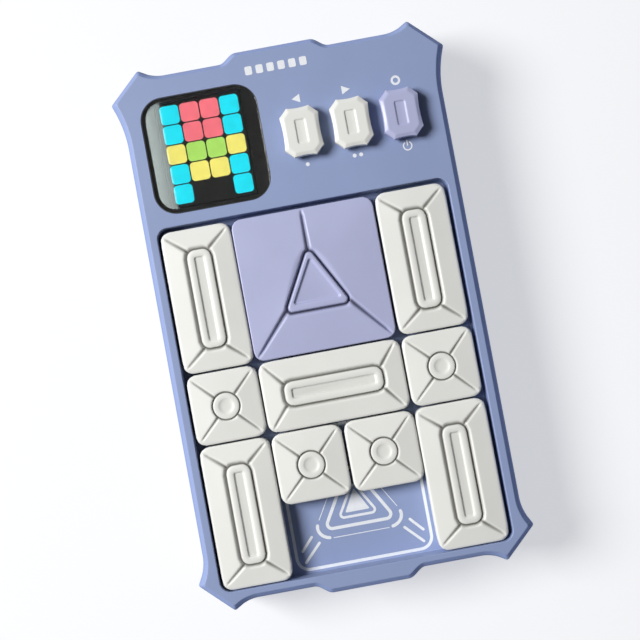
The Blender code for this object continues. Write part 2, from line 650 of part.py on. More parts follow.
def speaker(parts):
    """Speaker with its cone facing down, to the grille."""
    radius, thick = SPEAKER_RADIUS, SPEAKER_THICK
    profile = [(0.0, thick), (radius / 2, thick), (radius / 2, thick / 2), (radius, SPEAKER_FRAME),
               (radius, 0.0), (radius - SPEAKER_RIM, 0.0), SPEAKER_CONE, (0.0, SPEAKER_DOME)]
    turned("speaker", profile, parts, 24, material("speaker_frame", DARK, 0.5),
           (*SPEAKER_AT, BACK_Z + WALL + GAP))


def electronics(parts, tools):
    main_board(parts, tools)
    tray_plate("sensor_board", parts, SENSOR_BOARD_Z, SENSOR_BOARD_X, SENSOR_BOARD_Y,
               material("board_green", GREEN, 0.4))
    tray_plate("steel_keeper_plate", parts, KEEPER_Z, KEEPER_X, KEEPER_Y,
               material("keeper_steel", STEEL, 0.35, 1.0))
    speaker(parts)
    screen = rectangle(*GRID_SIZE, *SCREEN_AT)
    grid = prism("light_grid", screen, GRID_Z, parts, finish=material("grid_plastic", DARK, 0.6))
    through = (GRID_Z[0] - WALL, GRID_Z[1] + WALL)
    cut(grid, boxes("light_cells_cut", square_spans(light_spots(), LIGHT_CELL, through), tools))
    prism("diffuser", screen, DIFFUSER_Z, parts, finish=material("diffuser_film", WHITE, 0.7))


def screen_lens(parts):
    """Smoked lens, flat underneath, with a straight edge and a shallow dome."""
    edge = round_corners(rectangle(*LENS_SIZE, *SCREEN_AT), LENS_ROUND, 5)
    sections = [(edge, LENS_LOW)]
    for step in range(LENS_STEPS + 1):
        part = step / LENS_STEPS
        shrink = LENS_DOME * part
        outline = rectangle(LENS_SIZE[0] - 2 * shrink, LENS_SIZE[1] - 2 * shrink, *SCREEN_AT)
        height = FACE_Z + LENS_CROWN * (1 - (1 - part) ** 2)
        sections.append((round_corners(outline, LENS_ROUND - shrink / 3, 5), height))
    loft("screen_lens", sections, parts, finish=material("lens_smoke", DARK, 0.08))


# ---------------------------------------------------------------- buttons

def button_places():
    return [BUTTON_X + place * BUTTON_PITCH for place in range(len(BUTTON_NAMES))]


def buttons(parts, tools):
    """Octagonal caps on a neck that snaps into the front wall. Each origin is on the button's axis."""
    width, height = BUTTON_SIZE
    run, drop = BUTTON_SLOPE
    groove_wide, groove_long, groove_deep = BUTTON_GROOVE
    groove = round_corners(rectangle(groove_wide, groove_long), BUTTON_GROOVE_ROUND)
    for name, x in zip(BUTTON_NAMES, button_places()):
        colour = LILAC if name == "button_power" else WHITE
        at = (x, BUTTON_Y, 0.0)
        cap = loft(name, [
            (octagon(width, height, BUTTON_CLIP), BUTTON_CAP_LOW),
            (octagon(width, height, BUTTON_CLIP), BUTTON_TOP - drop),
            (octagon(width - 2 * run, height - 2 * run, BUTTON_CLIP * 0.75), BUTTON_TOP),
        ], parts, at=at, finish=material(f"{name}_plastic", colour, 0.4))
        hook_size = (BUTTON_HOOK_WIDTH, BUTTON_NECK[1] + 2 * BUTTON_HOOK)
        join(cap,
             prism(f"{name}_neck", rectangle(*BUTTON_NECK),
                   (BUTTON_HOOK_Z[0], BUTTON_CAP_LOW + GAP), tools, at=at),
             prism(f"{name}_hooks", rectangle(*hook_size), BUTTON_HOOK_Z, tools, at=at))
        cut(cap, prism(f"{name}_groove", groove, (BUTTON_TOP - groove_deep, BUTTON_TOP + WALL), tools, at=at))


# ---------------------------------------------------------------- tiles

def tile(name, column, row, columns, rows, slip, parts):
    """A tile: a hollow cap with a hipped top, a base plate that closes it, and a magnet between them."""
    colour = LILAC if name == "large_tile" else WHITE
    width = columns * CELL - TILE_GAP
    length = rows * CELL - TILE_GAP
    x = (column + columns / 2 - COLUMNS / 2) * CELL + TILE_SHIFT[0] + slip
    y = TRAY_Y + (ROWS / 2 - row - rows / 2) * CELL + TILE_SHIFT[1]
    body = bpy.data.objects.new(name, None)
    body.location = (x, y, TRAY_FLOOR)
    parts.objects.link(body)

    def ring(shrink, radius):
        return round_corners(rectangle(width - 2 * shrink, length - 2 * shrink), radius)

    def height(z):
        return z - TRAY_FLOOR

    cap = loft(f"{name}_cap", [
        (ring(TILE_WALL, TILE_ROUND - TILE_WALL), height(TILE_CEILING)),
        (ring(TILE_WALL, TILE_ROUND - TILE_WALL), height(TILE_LOW)),
        (ring(0.0, TILE_ROUND), height(TILE_LOW)),
        (ring(0.0, TILE_ROUND), height(TILE_EAVE)),
        (ring(TILE_RISE, TILE_TOP_ROUND), height(TILE_TOP)),
    ], parts, finish=material(f"{'large' if columns + rows == 4 else 'white'}_tile_plastic", colour, 0.35))
    base = prism(f"{name}_base", ring(TILE_WALL + GAP, TILE_ROUND - TILE_WALL - GAP),
                 (height(TILE_LOW), height(TILE_LOW + BASE_THICK)), parts,
                 finish=material("tile_base_plastic", WHITE, 0.5))
    magnet_low = height(TILE_LOW + BASE_THICK + GAP)
    magnet = cylinders(f"{name}_magnet", [(0.0, 0.0)], MAGNET[0],
                       (magnet_low, magnet_low + MAGNET[1]), parts,
                       finish=material("magnet_nickel", STEEL, 0.2, 1.0))
    for piece in (cap, base, magnet):
        piece.parent = body


def main():
    clear_scene()
    parts = new_collection("sliding_tile_puzzle")
    tools = new_collection("cutters")
    front_housing(parts, tools)
    back_cover(parts, tools)
    battery_door(parts, tools)
    fasteners(parts)
    rubber_feet(parts)
    batteries(parts)
    contacts(parts, tools)
    electronics(parts, tools)
    screen_lens(parts)
    buttons(parts, tools)
    for spec in TILES:
        tile(*spec, parts)


main()
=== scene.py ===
"""Looks of a hand-held sliding tile puzzle with a small light screen, lying on its back.

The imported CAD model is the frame. Lengths are in metres: +X is to the right of the front face,
+Y is towards the screen end and +Z comes out of the front face.
"""
import json
import math

import bmesh
import bpy
from mathutils import Matrix, Vector

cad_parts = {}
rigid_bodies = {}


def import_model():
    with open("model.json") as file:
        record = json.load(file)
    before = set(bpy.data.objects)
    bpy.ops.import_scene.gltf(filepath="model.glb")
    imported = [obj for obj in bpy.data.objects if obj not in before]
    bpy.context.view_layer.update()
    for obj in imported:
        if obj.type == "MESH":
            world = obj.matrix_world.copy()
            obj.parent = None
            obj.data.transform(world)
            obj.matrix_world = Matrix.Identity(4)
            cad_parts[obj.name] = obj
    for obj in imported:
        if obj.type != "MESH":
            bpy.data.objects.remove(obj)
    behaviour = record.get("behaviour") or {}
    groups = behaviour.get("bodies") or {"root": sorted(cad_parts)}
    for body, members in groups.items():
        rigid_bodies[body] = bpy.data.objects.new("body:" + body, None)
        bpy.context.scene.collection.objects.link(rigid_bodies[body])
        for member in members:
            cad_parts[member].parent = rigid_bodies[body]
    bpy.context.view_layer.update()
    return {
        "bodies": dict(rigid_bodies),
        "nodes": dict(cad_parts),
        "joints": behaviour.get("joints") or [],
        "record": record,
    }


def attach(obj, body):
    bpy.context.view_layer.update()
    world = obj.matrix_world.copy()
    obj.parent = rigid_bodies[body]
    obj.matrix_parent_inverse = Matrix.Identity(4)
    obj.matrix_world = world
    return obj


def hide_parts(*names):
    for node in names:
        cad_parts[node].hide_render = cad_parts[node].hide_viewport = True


MM = 0.001
GAP = 0.3 * MM

# Camera and lights
CAMERA_AT = (-0.30 * MM, -10.12 * MM, 351.03 * MM)
CAMERA_TURN = (math.radians(1.45), math.radians(0.34), math.radians(-10.49))
CAMERA_LENS = 67.5
KEY_AT = (-0.935, 0.300, 0.905)
KEY_SIZE = 0.62
KEY_POWER = 23.0
FILL_LEVEL = 0.080
FLOOR_SIZE = 60.0
BOUNCE_Z = -0.4 * MM
BOUNCE_HOLE = (0.13, 0.19)
BOUNCE_SIZE = (2.0, 2.0)
BOUNCE_LEVEL = 1.0
CARD_X = (-0.0850, -0.0637)
CARD_Y = (0.055, 0.155)
CARD_Z = 0.323
CARD_LEVELS = (4.7, 2.2)              # brightness at its far and its near edge

# Case outline, as half sizes from the middle
CASE_SIDE = 44.2 * MM
EAR_SIDE = 46.8 * MM
CASE_END = 75.7 * MM
DIP_END = 73.2 * MM
CREST_HALF = 10.5 * MM
CREST_RAMP = 5.0 * MM
EAR_TOP = 38.0 * MM
EAR_CLIP = 8.4 * MM
EAR_DIP = 7.0 * MM
EAR_SWEEP_SCREEN = 13.0 * MM
EAR_SWEEP_TRAY = 8.0 * MM
EAR_ROUND = 0.8 * MM
CORNER_STRAIGHT = 2.6 * MM     # the curves run straight into an ear's corners for this far

# Case heights
BACK_Z = 0.8 * MM
WALL = 2.0 * MM
SEAM_LOW = 12.0 * MM
SEAM_HIGH = SEAM_LOW + GAP
FACE_Z = 22.6 * MM
FRONT_CHAMFER = 1.5 * MM
BACK_CHAMFER = 2.0 * MM
CAVITY = (42.0 * MM, 71.0 * MM)
CAVITY_ROUND = 4.0 * MM
LIP_THICK = 1.0 * MM
LIP_HIGH = 1.8 * MM
CEILING_Z = 20.2 * MM
END_WALL = 1.7 * MM
SOFT_EDGE = 0.25 * MM
SEAM_BREAK = 0.2 * MM          # small chamfers on both sides of the seam
EDGE_ROUND = 0.28 * MM
BOSS_RADIUS = 3.2 * MM
POST_RADIUS = 3.6 * MM
PILLAR_TOP = 12.6 * MM

# Tray and tiles
CELL = 20.0 * MM
TILE_GAP = 0.5 * MM
COLUMNS = 4
ROWS = 5
TRAY_SIZE = (81.2 * MM, 101.0 * MM)
TRAY_Y = -19.6 * MM
TRAY_ROUND = 3.0 * MM
TRAY_FLOOR = 16.6 * MM
TRAY_FLOOR_WALL = 1.4 * MM
TILE_SHIFT = (-0.2 * MM, -0.45 * MM)
TILE_ROUND = 2.8 * MM
TILE_LOW = TRAY_FLOOR + GAP
TILE_EAVE = 21.9 * MM
TILE_WALL = 1.3 * MM
TILE_CEILING = 20.6 * MM
EAVE_ROUND = 0.36 * MM
ROOF_SLOPE = 0.118
TILE_FOOT = 0.2 * MM           # chamfer round a tile's underside
CORNERS = ((1, 1), (-1, 1), (-1, -1), (1, -1))
HIP_OFFSETS = [offset * MM for offset in (-0.62, -0.42, -0.28, -0.14, 0.0, 0.14, 0.28, 0.42, 0.62)]
HIP_HALF = 0.46 * MM           # half width of the grooves that run to the corners
HIP_START = 0.5 * MM           # they start this far in from the eave
HIP_FADE = 1.2 * MM            # and reach their depth over this length
BEAD_SHARE = 0.55              # part of the raised ring's height that is over its two edges
BAR_RING = (3.5 * MM, 13.8 * MM)        # half sizes of the ring on a tall tile
BAR_BEAD = 2.05 * MM
SMALL_RING = 3.75 * MM         # radius of the ring on a small tile
DIMPLE = 2.05 * MM
TURN_WEIGHT = 3.0 * MM         # length that one radian of turning counts for where points are spread

# name, column and row of the top left cell, columns and rows covered, how far it has slipped to the right
TILES = (
    ("tall_tile_1", 0, 0, 1, 2, 0.0),
    ("large_tile", 1, 0, 2, 2, -0.2 * MM),
    ("tall_tile_2", 3, 0, 1, 2, 0.0),
    ("small_tile_1", 0, 2, 1, 1, 0.0),
    ("wide_tile", 1, 2, 2, 1, 0.0),
    ("small_tile_2", 3, 2, 1, 1, 0.0),
    ("tall_tile_3", 0, 3, 1, 2, 0.0),
    ("small_tile_3", 1, 3, 1, 1, 0.0),
    ("small_tile_4", 2, 3, 1, 1, 0.2 * MM),
    ("tall_tile_4", 3, 3, 1, 2, 0.0),
)

# Screen
SCREEN_AT = (-23.0 * MM, 50.4 * MM)
LENS_SIZE = (32.0 * MM, 31.8 * MM)
LENS_ROUND = 6.0 * MM
LENS_LOW = 21.5 * MM
LENS_RISE = 0.13 * MM          # the flat top of the lens over the case face
LENS_BEVEL = 0.9 * MM
LEDGE_Z = LENS_LOW - GAP
WINDOW_SIZE = (24.2 * MM, 29.6 * MM)
FILM_SIZE = (23.6 * MM, 29.0 * MM)
FILM_Z = (20.8 * MM, 21.15 * MM)
LIGHTS_AT = (-22.87 * MM, 50.47 * MM)
LIGHT_PITCH = 5.56 * MM
LIGHT_SIDE = 5.2 * MM
LIGHT_ROUND = 1.0 * MM
LIGHT_THICK = 0.08 * MM
# one letter for each light of a row, from the top row down: cyan, red, yellow, green or off
LIGHT_ROWS = ("crrc", "crrc", "yggy", "cyyc", "c--c")
LIGHT_COLOURS = {
    "c": ("cyan", (0.008, 0.81, 0.965)),
    "r": ("red", (0.99, 0.195, 0.240)),
    "y": ("yellow", (0.98, 0.87, 0.195)),
    "g": ("green", (0.455, 0.81, 0.150)),
}

# Buttons
BUTTONS = (("button_left", 3.75 * MM), ("button_right", 17.55 * MM), ("button_power", 31.35 * MM))
BUTTON_Y = 49.8 * MM
BUTTON_SIZE = (10.8 * MM, 13.7 * MM)
BUTTON_CLIP = 2.3 * MM
BUTTON_SAG = 0.32 * MM
BUTTON_LOW = 23.8 * MM
BUTTON_TOP = 26.2 * MM
BUTTON_SLOPE = (1.15 * MM, 0.42 * MM)
BUTTON_GROOVE = (3.0 * MM, 6.7 * MM, 0.28 * MM)
# steps down the side of the finger groove: distance inwards, part of its depth
BUTTON_GROOVE_EDGE = ((-0.5 * MM, 0.0), (-0.2 * MM, 0.0), (-0.06 * MM, 0.09), (0.05 * MM, 0.31),
                      (0.14 * MM, 0.64), (0.24 * MM, 0.89), (0.42 * MM, 1.0))
BUTTON_NECK = (8.0 * MM, 10.6 * MM)
BUTTON_HOOK = 0.9 * MM
BUTTON_HOOK_Z = (19.3 * MM, 19.9 * MM)

# Battery bay, door and fasteners
BAY_Y = 51.8 * MM
BAY_HALF = (26.3 * MM, 16.6 * MM)
BAY_TOP = 14.2 * MM
TUB_HALF = (28.5 * MM, 18.5 * MM)
TUB_TOP = 15.4 * MM
SEAT_X = (-29.2 * MM, 35.4 * MM)
SEAT_TOP = 4.6 * MM
DOOR_HINGE_X = -27.6 * MM
DOOR_LENGTH = 61.0 * MM
DOOR_HALF = 17.2 * MM
DOOR_THICK = 2.0 * MM
TAB_Y = 5.5 * MM
TAB_WIDTH = 5.0 * MM
TAB_X = (-1.6 * MM, 1.8 * MM)
TAB_ROOT_X = 0.6 * MM
TAB_Z = (2.5 * MM, 3.5 * MM)
DOOR_SCREW_X = 30.5 * MM
SCREW_AT = (38.6 * MM, 67.2 * MM)
SCREW_HOLE = 1.5 * MM
SCREW_HEAD = (2.5 * MM, 2.0 * MM)
SCREW_HEAD_Z = 3.0 * MM
SCREW_SHANK = (1.2 * MM, 9.4 * MM)
THREAD_PITCH = 0.6 * MM
FOOT_X = 38.2 * MM
FOOT_ROWS = (46.0 * MM, -57.0 * MM)
FOOT_RADIUS = 3.4 * MM
FOOT_THICK = 1.6 * MM
SPEAKER_AT = (0.0, -40.0 * MM)
SPEAKER_RADIUS = 10.5 * MM
PILLARS = ((-27.0 * MM, 18.0 * MM), (27.0 * MM, 18.0 * MM), (-27.0 * MM, -20.0 * MM),
           (27.0 * MM, -20.0 * MM), (-22.0 * MM, -58.0 * MM), (22.0 * MM, -58.0 * MM))

# Printed marks
PRINT_THICK = 0.03 * MM
LIFT = 0.01 * MM               # what is printed or laid on a surface clears it by this
THIN_LINE = 0.22 * MM
# half of the base, height of the base and of the tip, line width, corner radius
GOAL_TRIANGLES = ((5.5 * MM, -56.9 * MM, -47.6 * MM, 0.7 * MM, 0.9 * MM),
                  (9.9 * MM, -59.3 * MM, -42.2 * MM, 0.9 * MM, 1.3 * MM))
MARK_X = (3.8 * MM, 17.8 * MM, 31.7 * MM)
MARK_HIGH = 59.5 * MM
MARK_LOW = 41.1 * MM
POWER_RADIUS = 1.15 * MM
ROW_START = -7.6 * MM
ROW_PITCH = 3.05 * MM
ROW_Y = 69.5 * MM

# Colours, as linear red, green and blue
BLUE = (0.281, 0.354, 0.586)
WHITE = (0.820, 0.833, 0.810)
LILAC = (0.459, 0.486, 0.726)
INK = (0.860, 0.900, 0.960)
# painted shade in the tiles' grooves and recesses: colours that the plastic is multiplied by there
WHITE_GROOVE_SHADE = (0.17, 0.165, 0.15)      # how much of the light the tiles' grooves leave
LILAC_GROOVE_SHADE = (0.10, 0.10, 0.12)
GRID_GREY = 0.013
SCREEN_GREY = 0.045


# ---------------------------------------------------------------- outlines

def rectangle(width, height, x=0.0, y=0.0):
    """Corners of a rectangle, anticlockwise, round (x, y)."""
    return [(x + sx * width / 2, y + sy * height / 2) for sx, sy in ((1, -1), (1, 1), (-1, 1), (-1, -1))]


def octagon(width, height, clip):
    """A rectangle with its corners cut off."""
    across, up = width / 2, height / 2
    quarter = [(across, up - clip), (across - clip, up)]
    left = [(-x, y) for x, y in reversed(quarter)]
    return quarter + left + [(-x, -y) for x, y in quarter] + [(-x, -y) for x, y in left]


def polar(radius, angle, x=0.0, y=0.0):
    """The point at a distance and an angle from (x, y)."""
    return x + radius * math.cos(angle), y + radius * math.sin(angle)


def circle(radius, x=0.0, y=0.0, steps=48):
    return [polar(radius, 2 * math.pi * turn / steps, x, y) for turn in range(steps)]


def quarter_round(radius, steps=4):
    """Offsets over a quarter round, from (0, radius) to (radius, 0)."""
    angles = [math.pi / 2 * step / steps for step in range(steps + 1)]
    return [(radius * (1 - math.cos(angle)), radius * (1 - math.sin(angle))) for angle in angles]


def round_corner(before, corner, after, radius, steps):
    """Points of an arc that replaces one corner."""
    corner = Vector(corner)
    back = (Vector(before) - corner).normalized()
    ahead = (Vector(after) - corner).normalized()
    turn = math.pi - back.angle(ahead)
    reach = radius * math.tan(turn / 2)
    start = corner + back * reach
    middle = corner + (back + ahead).normalized() * (radius / math.cos(turn / 2))
    arm = start - middle
    side = 1 if back.x * ahead.y - back.y * ahead.x < 0 else -1
    points = []
    for step in range(steps + 1):
        spun = Matrix.Rotation(side * turn * step / steps, 2) @ arm
        points.append(tuple(middle + spun))
    return points


def turns(outline):
    """How far an outline turns at each of its corners, in radians."""
    found = []
    for before, corner, after in zip(outline[-1:] + outline[:-1], outline, outline[1:] + outline[:1]):
        back = Vector(before) - Vector(corner)
        ahead = Vector(after) - Vector(corner)
        found.append(math.pi - back.angle(ahead))
    return found


def rounded(outline, radius, steps=6, like=None):
    """Round the corners of a closed outline that are sharp, or that are sharp in the outline `like`."""
    sharp = [turn > math.radians(30) for turn in turns(like or outline)]
    points = []
    for here, corner in enumerate(outline):
        if sharp[here]:
            after = outline[(here + 1) % len(outline)]
            points.extend(round_corner(outline[here - 1], corner, after, radius, steps))
        else:
            points.append(tuple(corner))
    return points


def eased(profile, radius):
    """Round the inner corners of an open profile."""
    points = [tuple(profile[0])]
    for before, corner, after in zip(profile, profile[1:], profile[2:]):
        points.extend(round_corner(before, corner, after, radius, 3))
    return points + [tuple(profile[-1])]


def inset(outline, distance):
    """Move every edge of an anticlockwise outline inwards by the same distance."""
    moved = []
    for before, corner, after in zip(outline[-1:] + outline[:-1], outline, outline[1:] + outline[:1]):
        edge_in = (Vector(corner) - Vector(before)).normalized()
        edge_out = (Vector(after) - Vector(corner)).normalized()
        normal_in = Vector((-edge_in.y, edge_in.x))
        normal_out = Vector((-edge_out.y, edge_out.x))
        mitre = (normal_in + normal_out).normalized()
        moved.append(tuple(Vector(corner) + mitre * distance / mitre.dot(normal_in)))
    return moved


def case_quarter(sweep):
    """The case outline from the straight right side, round one ear, to the raised middle of the end."""
    ear_low = CASE_END - EAR_CLIP
    points = []
    straight = 1 - CORNER_STRAIGHT / sweep
    for t in [straight * step / 12 for step in range(13)] + [1.0]:
        points.append((CASE_SIDE + (EAR_SIDE - CASE_SIDE) * t * t, ear_low - sweep * (1 - t)))
    straight = CORNER_STRAIGHT / EAR_DIP
    for t in [0.0] + [straight + (1 - straight) * step / 10 for step in range(11)]:
        points.append((EAR_TOP - EAR_DIP * t, DIP_END + (CASE_END - DIP_END) * (1 - t) ** 2))
    for step in range(13):
        t = step / 12
        rise = (1 - math.cos(math.pi * t)) / 2
        points.append((CREST_HALF + CREST_RAMP * (1 - t), DIP_END + (CASE_END - DIP_END) * rise))
    return points


def case_outline(inwards=0.0):
    """The whole case outline, anticlockwise, optionally moved inwards."""
    screen_end = case_quarter(EAR_SWEEP_SCREEN)
    tray_end = [(x, -y) for x, y in reversed(case_quarter(EAR_SWEEP_TRAY))]
    right = tray_end + screen_end
    left = [(-x, y) for x, y in reversed(right)]
    return rounded(inset(right + left, inwards), EAR_ROUND, 5, right + left)


# ---------------------------------------------------------------- meshes

def level(outline, z):
    """The points of an outline at a height."""
    return [(*point, z) for point in outline]


def new_object(name, maker):
    """An object from a filled bmesh, with outward normals."""
    bmesh.ops.recalc_face_normals(maker, faces=maker.faces)
    mesh = bpy.data.meshes.new(name)
    maker.to_mesh(mesh)
    maker.free()
    made = bpy.data.objects.new(name, mesh)
    bpy.context.scene.collection.objects.link(made)
    return made


def skin(maker, rows):
    """Faces over rows of (x, y, z) points with equal counts, closed with a flat face at both ends."""
    rings = [[maker.verts.new(point) for point in row] for row in rows]
    for low, high in zip(rings, rings[1:]):
        for here in range(len(low)):
            maker.faces.new((low[here - 1], low[here], high[here], high[here - 1]))
    maker.faces.new(rings[0])
    maker.faces.new(rings[-1])


def loft(name, sections):
    """A closed skin over (outline, height) sections."""
    maker = bmesh.new()
    skin(maker, [level(outline, z) for outline, z in sections])
    return new_object(name, maker)


def prism(name, outline, z_range):
    return loft(name, [(outline, z) for z in z_range])


def pocket(name, outline, floor, top, lip, floor_round=0.0):
    """A cutter that leaves a rounded foot at the floor and a rounded lip at the top of its hole."""
    sections = [(outline, floor)]
    if floor_round:
        sections = [(inset(outline, along), floor + up) for up, along in quarter_round(floor_round)]
    sections.extend((inset(outline, -across), top - down) for across, down in quarter_round(lip))
    sections.append((inset(outline, -lip), top + WALL))
    return loft(name, sections)


def pocket_below(name, outline, ceiling, lip):
    """The same cutter for a hole that opens downwards at the back face."""
    sections = [(outline, ceiling)]
    sections.extend((inset(outline, -across), BACK_Z + up) for across, up in quarter_round(lip))
    sections.append((inset(outline, -lip), BACK_Z - WALL))
    return loft(name, sections)


def boxes(name, spans):
    """Boxes in one mesh, each given as its X, Y and Z range."""
    maker = bmesh.new()
    for ranges in spans:
        size = [high - low for low, high in ranges]
        middle = [(high + low) / 2 for low, high in ranges]
        place = Matrix.Translation(middle) @ Matrix.Diagonal((*size, 1.0))
        bmesh.ops.create_cube(maker, size=1.0, matrix=place)
    return new_object(name, maker)


def cylinders(name, spots, radius, z_range, sides=32):
    """Upright cylinders in one mesh, one at each (x, y) spot."""
    maker = bmesh.new()
    for x, y in spots:
        skin(maker, [level(circle(radius, x, y, sides), z) for z in z_range])
    return new_object(name, maker)


def settle(made):
    """Apply the modifiers of an object to its mesh."""
    graph = bpy.context.evaluated_depsgraph_get()
    graph.update()
    mesh = bpy.data.meshes.new_from_object(made.evaluated_get(graph))
    made.modifiers.clear()
    old = made.data
    made.data = mesh
    bpy.data.meshes.remove(old)
    return made


def combine(target, joined=(), cut=()):
    """Join and cut with other objects, which are used up."""
    for tools, operation in ((joined, "UNION"), (cut, "DIFFERENCE")):
        for tool in tools:
            step = target.modifiers.new(tool.name, "BOOLEAN")
            step.operation = operation
            step.object = tool
            step.solver = "EXACT"
    settle(target)
    for tool in list(joined) + list(cut):
        bpy.data.objects.remove(tool, do_unlink=True)
    return target


def smooth(made, angle=40.0, weighted=False):
    """Smooth shading between faces that meet at less than an angle in degrees."""
    made.data.polygons.foreach_set("use_smooth", [True] * len(made.data.polygons))
    made.data.set_sharp_from_angle(angle=math.radians(angle))
    if weighted:
        weigh = made.modifiers.new("weighted normals", "WEIGHTED_NORMAL")
        weigh.keep_sharp = True
        weigh.weight = 100
        settle(made)
    return made


def finish_piece(made, body, slot, material, *nodes):
    """Give a piece its material, and let it ride on a body in place of CAD nodes."""
    made.data.materials.clear()
    made.data.materials.append(material)
    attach(made, body)
    if nodes:
        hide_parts(*nodes)
    return made


# ---------------------------------------------------------------- materials

class Shader:
    """A small helper that builds one Principled material with procedural detail."""

    def __init__(self, name):
        self.material = bpy.data.materials.new(name)
        self.material.use_nodes = True
        self.tree = self.material.node_tree
        self.surface = self.tree.nodes["Principled BSDF"]
        self.place = self.tree.nodes.new("ShaderNodeTexCoord").outputs["Object"]

    def set(self, **values):
        for socket, value in values.items():
            self.surface.inputs[socket.replace("_", " ")].default_value = value

    def node(self, kind, **values):
        made = self.tree.nodes.new(kind)
        for key, value in values.items():
            if hasattr(made, key):
                setattr(made, key, value)
            else:
                made.inputs[key.replace("_", " ")].default_value = value
        return made

    def link(self, source, target):
        self.tree.links.new(source, target)

    def feed(self, **sources):
        """Link sources to inputs of the surface."""
        for socket, source in sources.items():
            self.link(source, self.surface.inputs[socket.replace("_", " ")])

    def noise(self, scale, detail=2.0, squash=(1.0, 1.0, 1.0)):
        """Noise with `scale` features in a metre, stretched along an axis by `squash`."""
        mapping = self.node("ShaderNodeMapping", Scale=squash)
        self.link(self.place, mapping.inputs["Vector"])
        made = self.node("ShaderNodeTexNoise", Scale=scale, Detail=detail)
        self.link(mapping.outputs["Vector"], made.inputs["Vector"])
        return made.outputs["Fac"]

    def ramp(self, source, stops):
        """A colour ramp from (position, colour) stops."""
        made = self.tree.nodes.new("ShaderNodeValToRGB")
        elements = made.color_ramp.elements
        while len(elements) < len(stops):
            elements.new(0.5)
        for element, (position, colour) in zip(elements, stops):
            element.position = position
            element.color = (*colour, 1.0)
        self.link(source, made.inputs["Fac"])
        return made.outputs["Color"]

    def spread(self, source, low, high):
        """Map a noise value to a range."""
        made = self.node("ShaderNodeMapRange", From_Min=0.3, From_Max=0.7, To_Min=low, To_Max=high)
        self.link(source, made.inputs["Value"])
        return made.outputs["Result"]

    def bump(self, source, distance, strength):
        made = self.node("ShaderNodeBump", Strength=strength, Distance=distance)
        self.link(source, made.inputs["Height"])
        return made.outputs["Normal"]


def tint(colour, factor):
    return tuple(min(1.0, channel * factor) for channel in colour)


def plastic(name, colour, roughness, grain=0.5, relief=None):
    """Moulded plastic: faint clouding and a satin grain. Painted shade can be put in its grooves with
    `relief`, a colour that the plastic is multiplied by where the mesh's groove attribute is high.
    """
    shader = Shader(name)
    base = shader.ramp(shader.noise(45.0, 3.0), [(0.3, tint(colour, 0.97)), (0.7, tint(colour, 1.03))])
    # painted shade: the colour is darkened towards `relief` where the mesh's groove attribute is high
    if relief:
        groove = shader.node("ShaderNodeAttribute", attribute_name="groove").outputs["Fac"]
        shade = shader.ramp(groove, [(0.0, (1.0, 1.0, 1.0)), (1.0, relief)])
        shaded = shader.node("ShaderNodeMix", data_type="RGBA", blend_type="MULTIPLY")
        shaded.inputs["Factor"].default_value = 1.0
        mixed = [socket for socket in shaded.inputs if socket.type == "RGBA"]
        shader.link(base, mixed[0])
        shader.link(shade, mixed[1])
        base = [socket for socket in shaded.outputs if socket.type == "RGBA"][0]
    scuffs = shader.noise(320.0, 4.0, (1.0, 0.35, 1.0))
    fine = shader.noise(5200.0, 2.0)
    shader.feed(Base_Color=base,
                Roughness=shader.spread(scuffs, roughness - 0.05, roughness + 0.05),
                Normal=shader.bump(fine, 0.012 * MM, grain))
    return shader.material


def metal(name, colour, roughness, stretch=(1.0, 1.0, 1.0)):
    """Plated or brushed steel, with fine marks."""
    shader = Shader(name)
    shader.set(Metallic=1.0)
    marks = shader.noise(2600.0, 3.0, stretch)
    shader.feed(Base_Color=shader.ramp(marks, [(0.3, tint(colour, 0.9)), (0.7, tint(colour, 1.08))]),
                Roughness=shader.spread(marks, roughness - 0.06, roughness + 0.08),
                Normal=shader.bump(marks, 0.006 * MM, 0.5))
    return shader.material


def rubber(name):
    shader = Shader(name)
    grain = shader.noise(3500.0, 3.0)
    shader.feed(Base_Color=shader.ramp(grain, [(0.3, (0.016, 0.017, 0.019)), (0.7, (0.034, 0.035, 0.038))]),
                Normal=shader.bump(grain, 0.03 * MM, 0.8))
    shader.set(Roughness=0.82)
    return shader.material


def circuit_board(name):
    """Green solder mask over faint copper tracks."""
    shader = Shader(name)
    tracks = shader.node(
        "ShaderNodeTexBrick", Scale=300.0, offset=0.5, Mortar_Size=0.06, Color1=(0.018, 0.120, 0.055, 1.0),
        Color2=(0.024, 0.150, 0.070, 1.0), Mortar=(0.060, 0.260, 0.120, 1.0))
    shader.link(shader.place, tracks.inputs["Vector"])
    shader.feed(Base_Color=tracks.outputs["Color"], Normal=shader.bump(tracks.outputs["Fac"], 0.03 * MM, 0.6))
    shader.set(Roughness=0.35)
    return shader.material


def battery_skin(name):
    """Dark printed foil sleeve with a copper coloured band at both ends."""
    shader = Shader(name)
    split = shader.node("ShaderNodeSeparateXYZ")
    shader.link(shader.place, split.inputs["Vector"])
    shift = shader.node("ShaderNodeMath", operation="MULTIPLY_ADD")
    shader.link(split.outputs["X"], shift.inputs[0])
    shift.inputs[1].default_value = 20.0
    shift.inputs[2].default_value = 0.5
    copper = (0.46, 0.24, 0.10)
    foil = shader.noise(900.0, 3.0)
    bands = [(0.23, copper), (0.25, (0.030, 0.032, 0.036)), (0.75, (0.036, 0.037, 0.040)), (0.77, copper)]
    shader.feed(Base_Color=shader.ramp(shift.outputs["Value"], bands),
                Roughness=shader.spread(foil, 0.24, 0.36),
                Normal=shader.bump(foil, 0.01 * MM, 0.4))
    shader.set(Metallic=0.4)
    return shader.material


def smoked_lens(name):
    """Clear smoked plastic with a hard gloss coat."""
    shader = Shader(name)
    shader.set(Roughness=0.02, IOR=1.75, Transmission_Weight=1.0)
    haze = shader.noise(240.0, 2.0)
    shader.feed(Base_Color=shader.ramp(haze, [(0.3, (0.70, 0.71, 0.71)), (0.7, (0.74, 0.75, 0.75))]))
    return shader.material


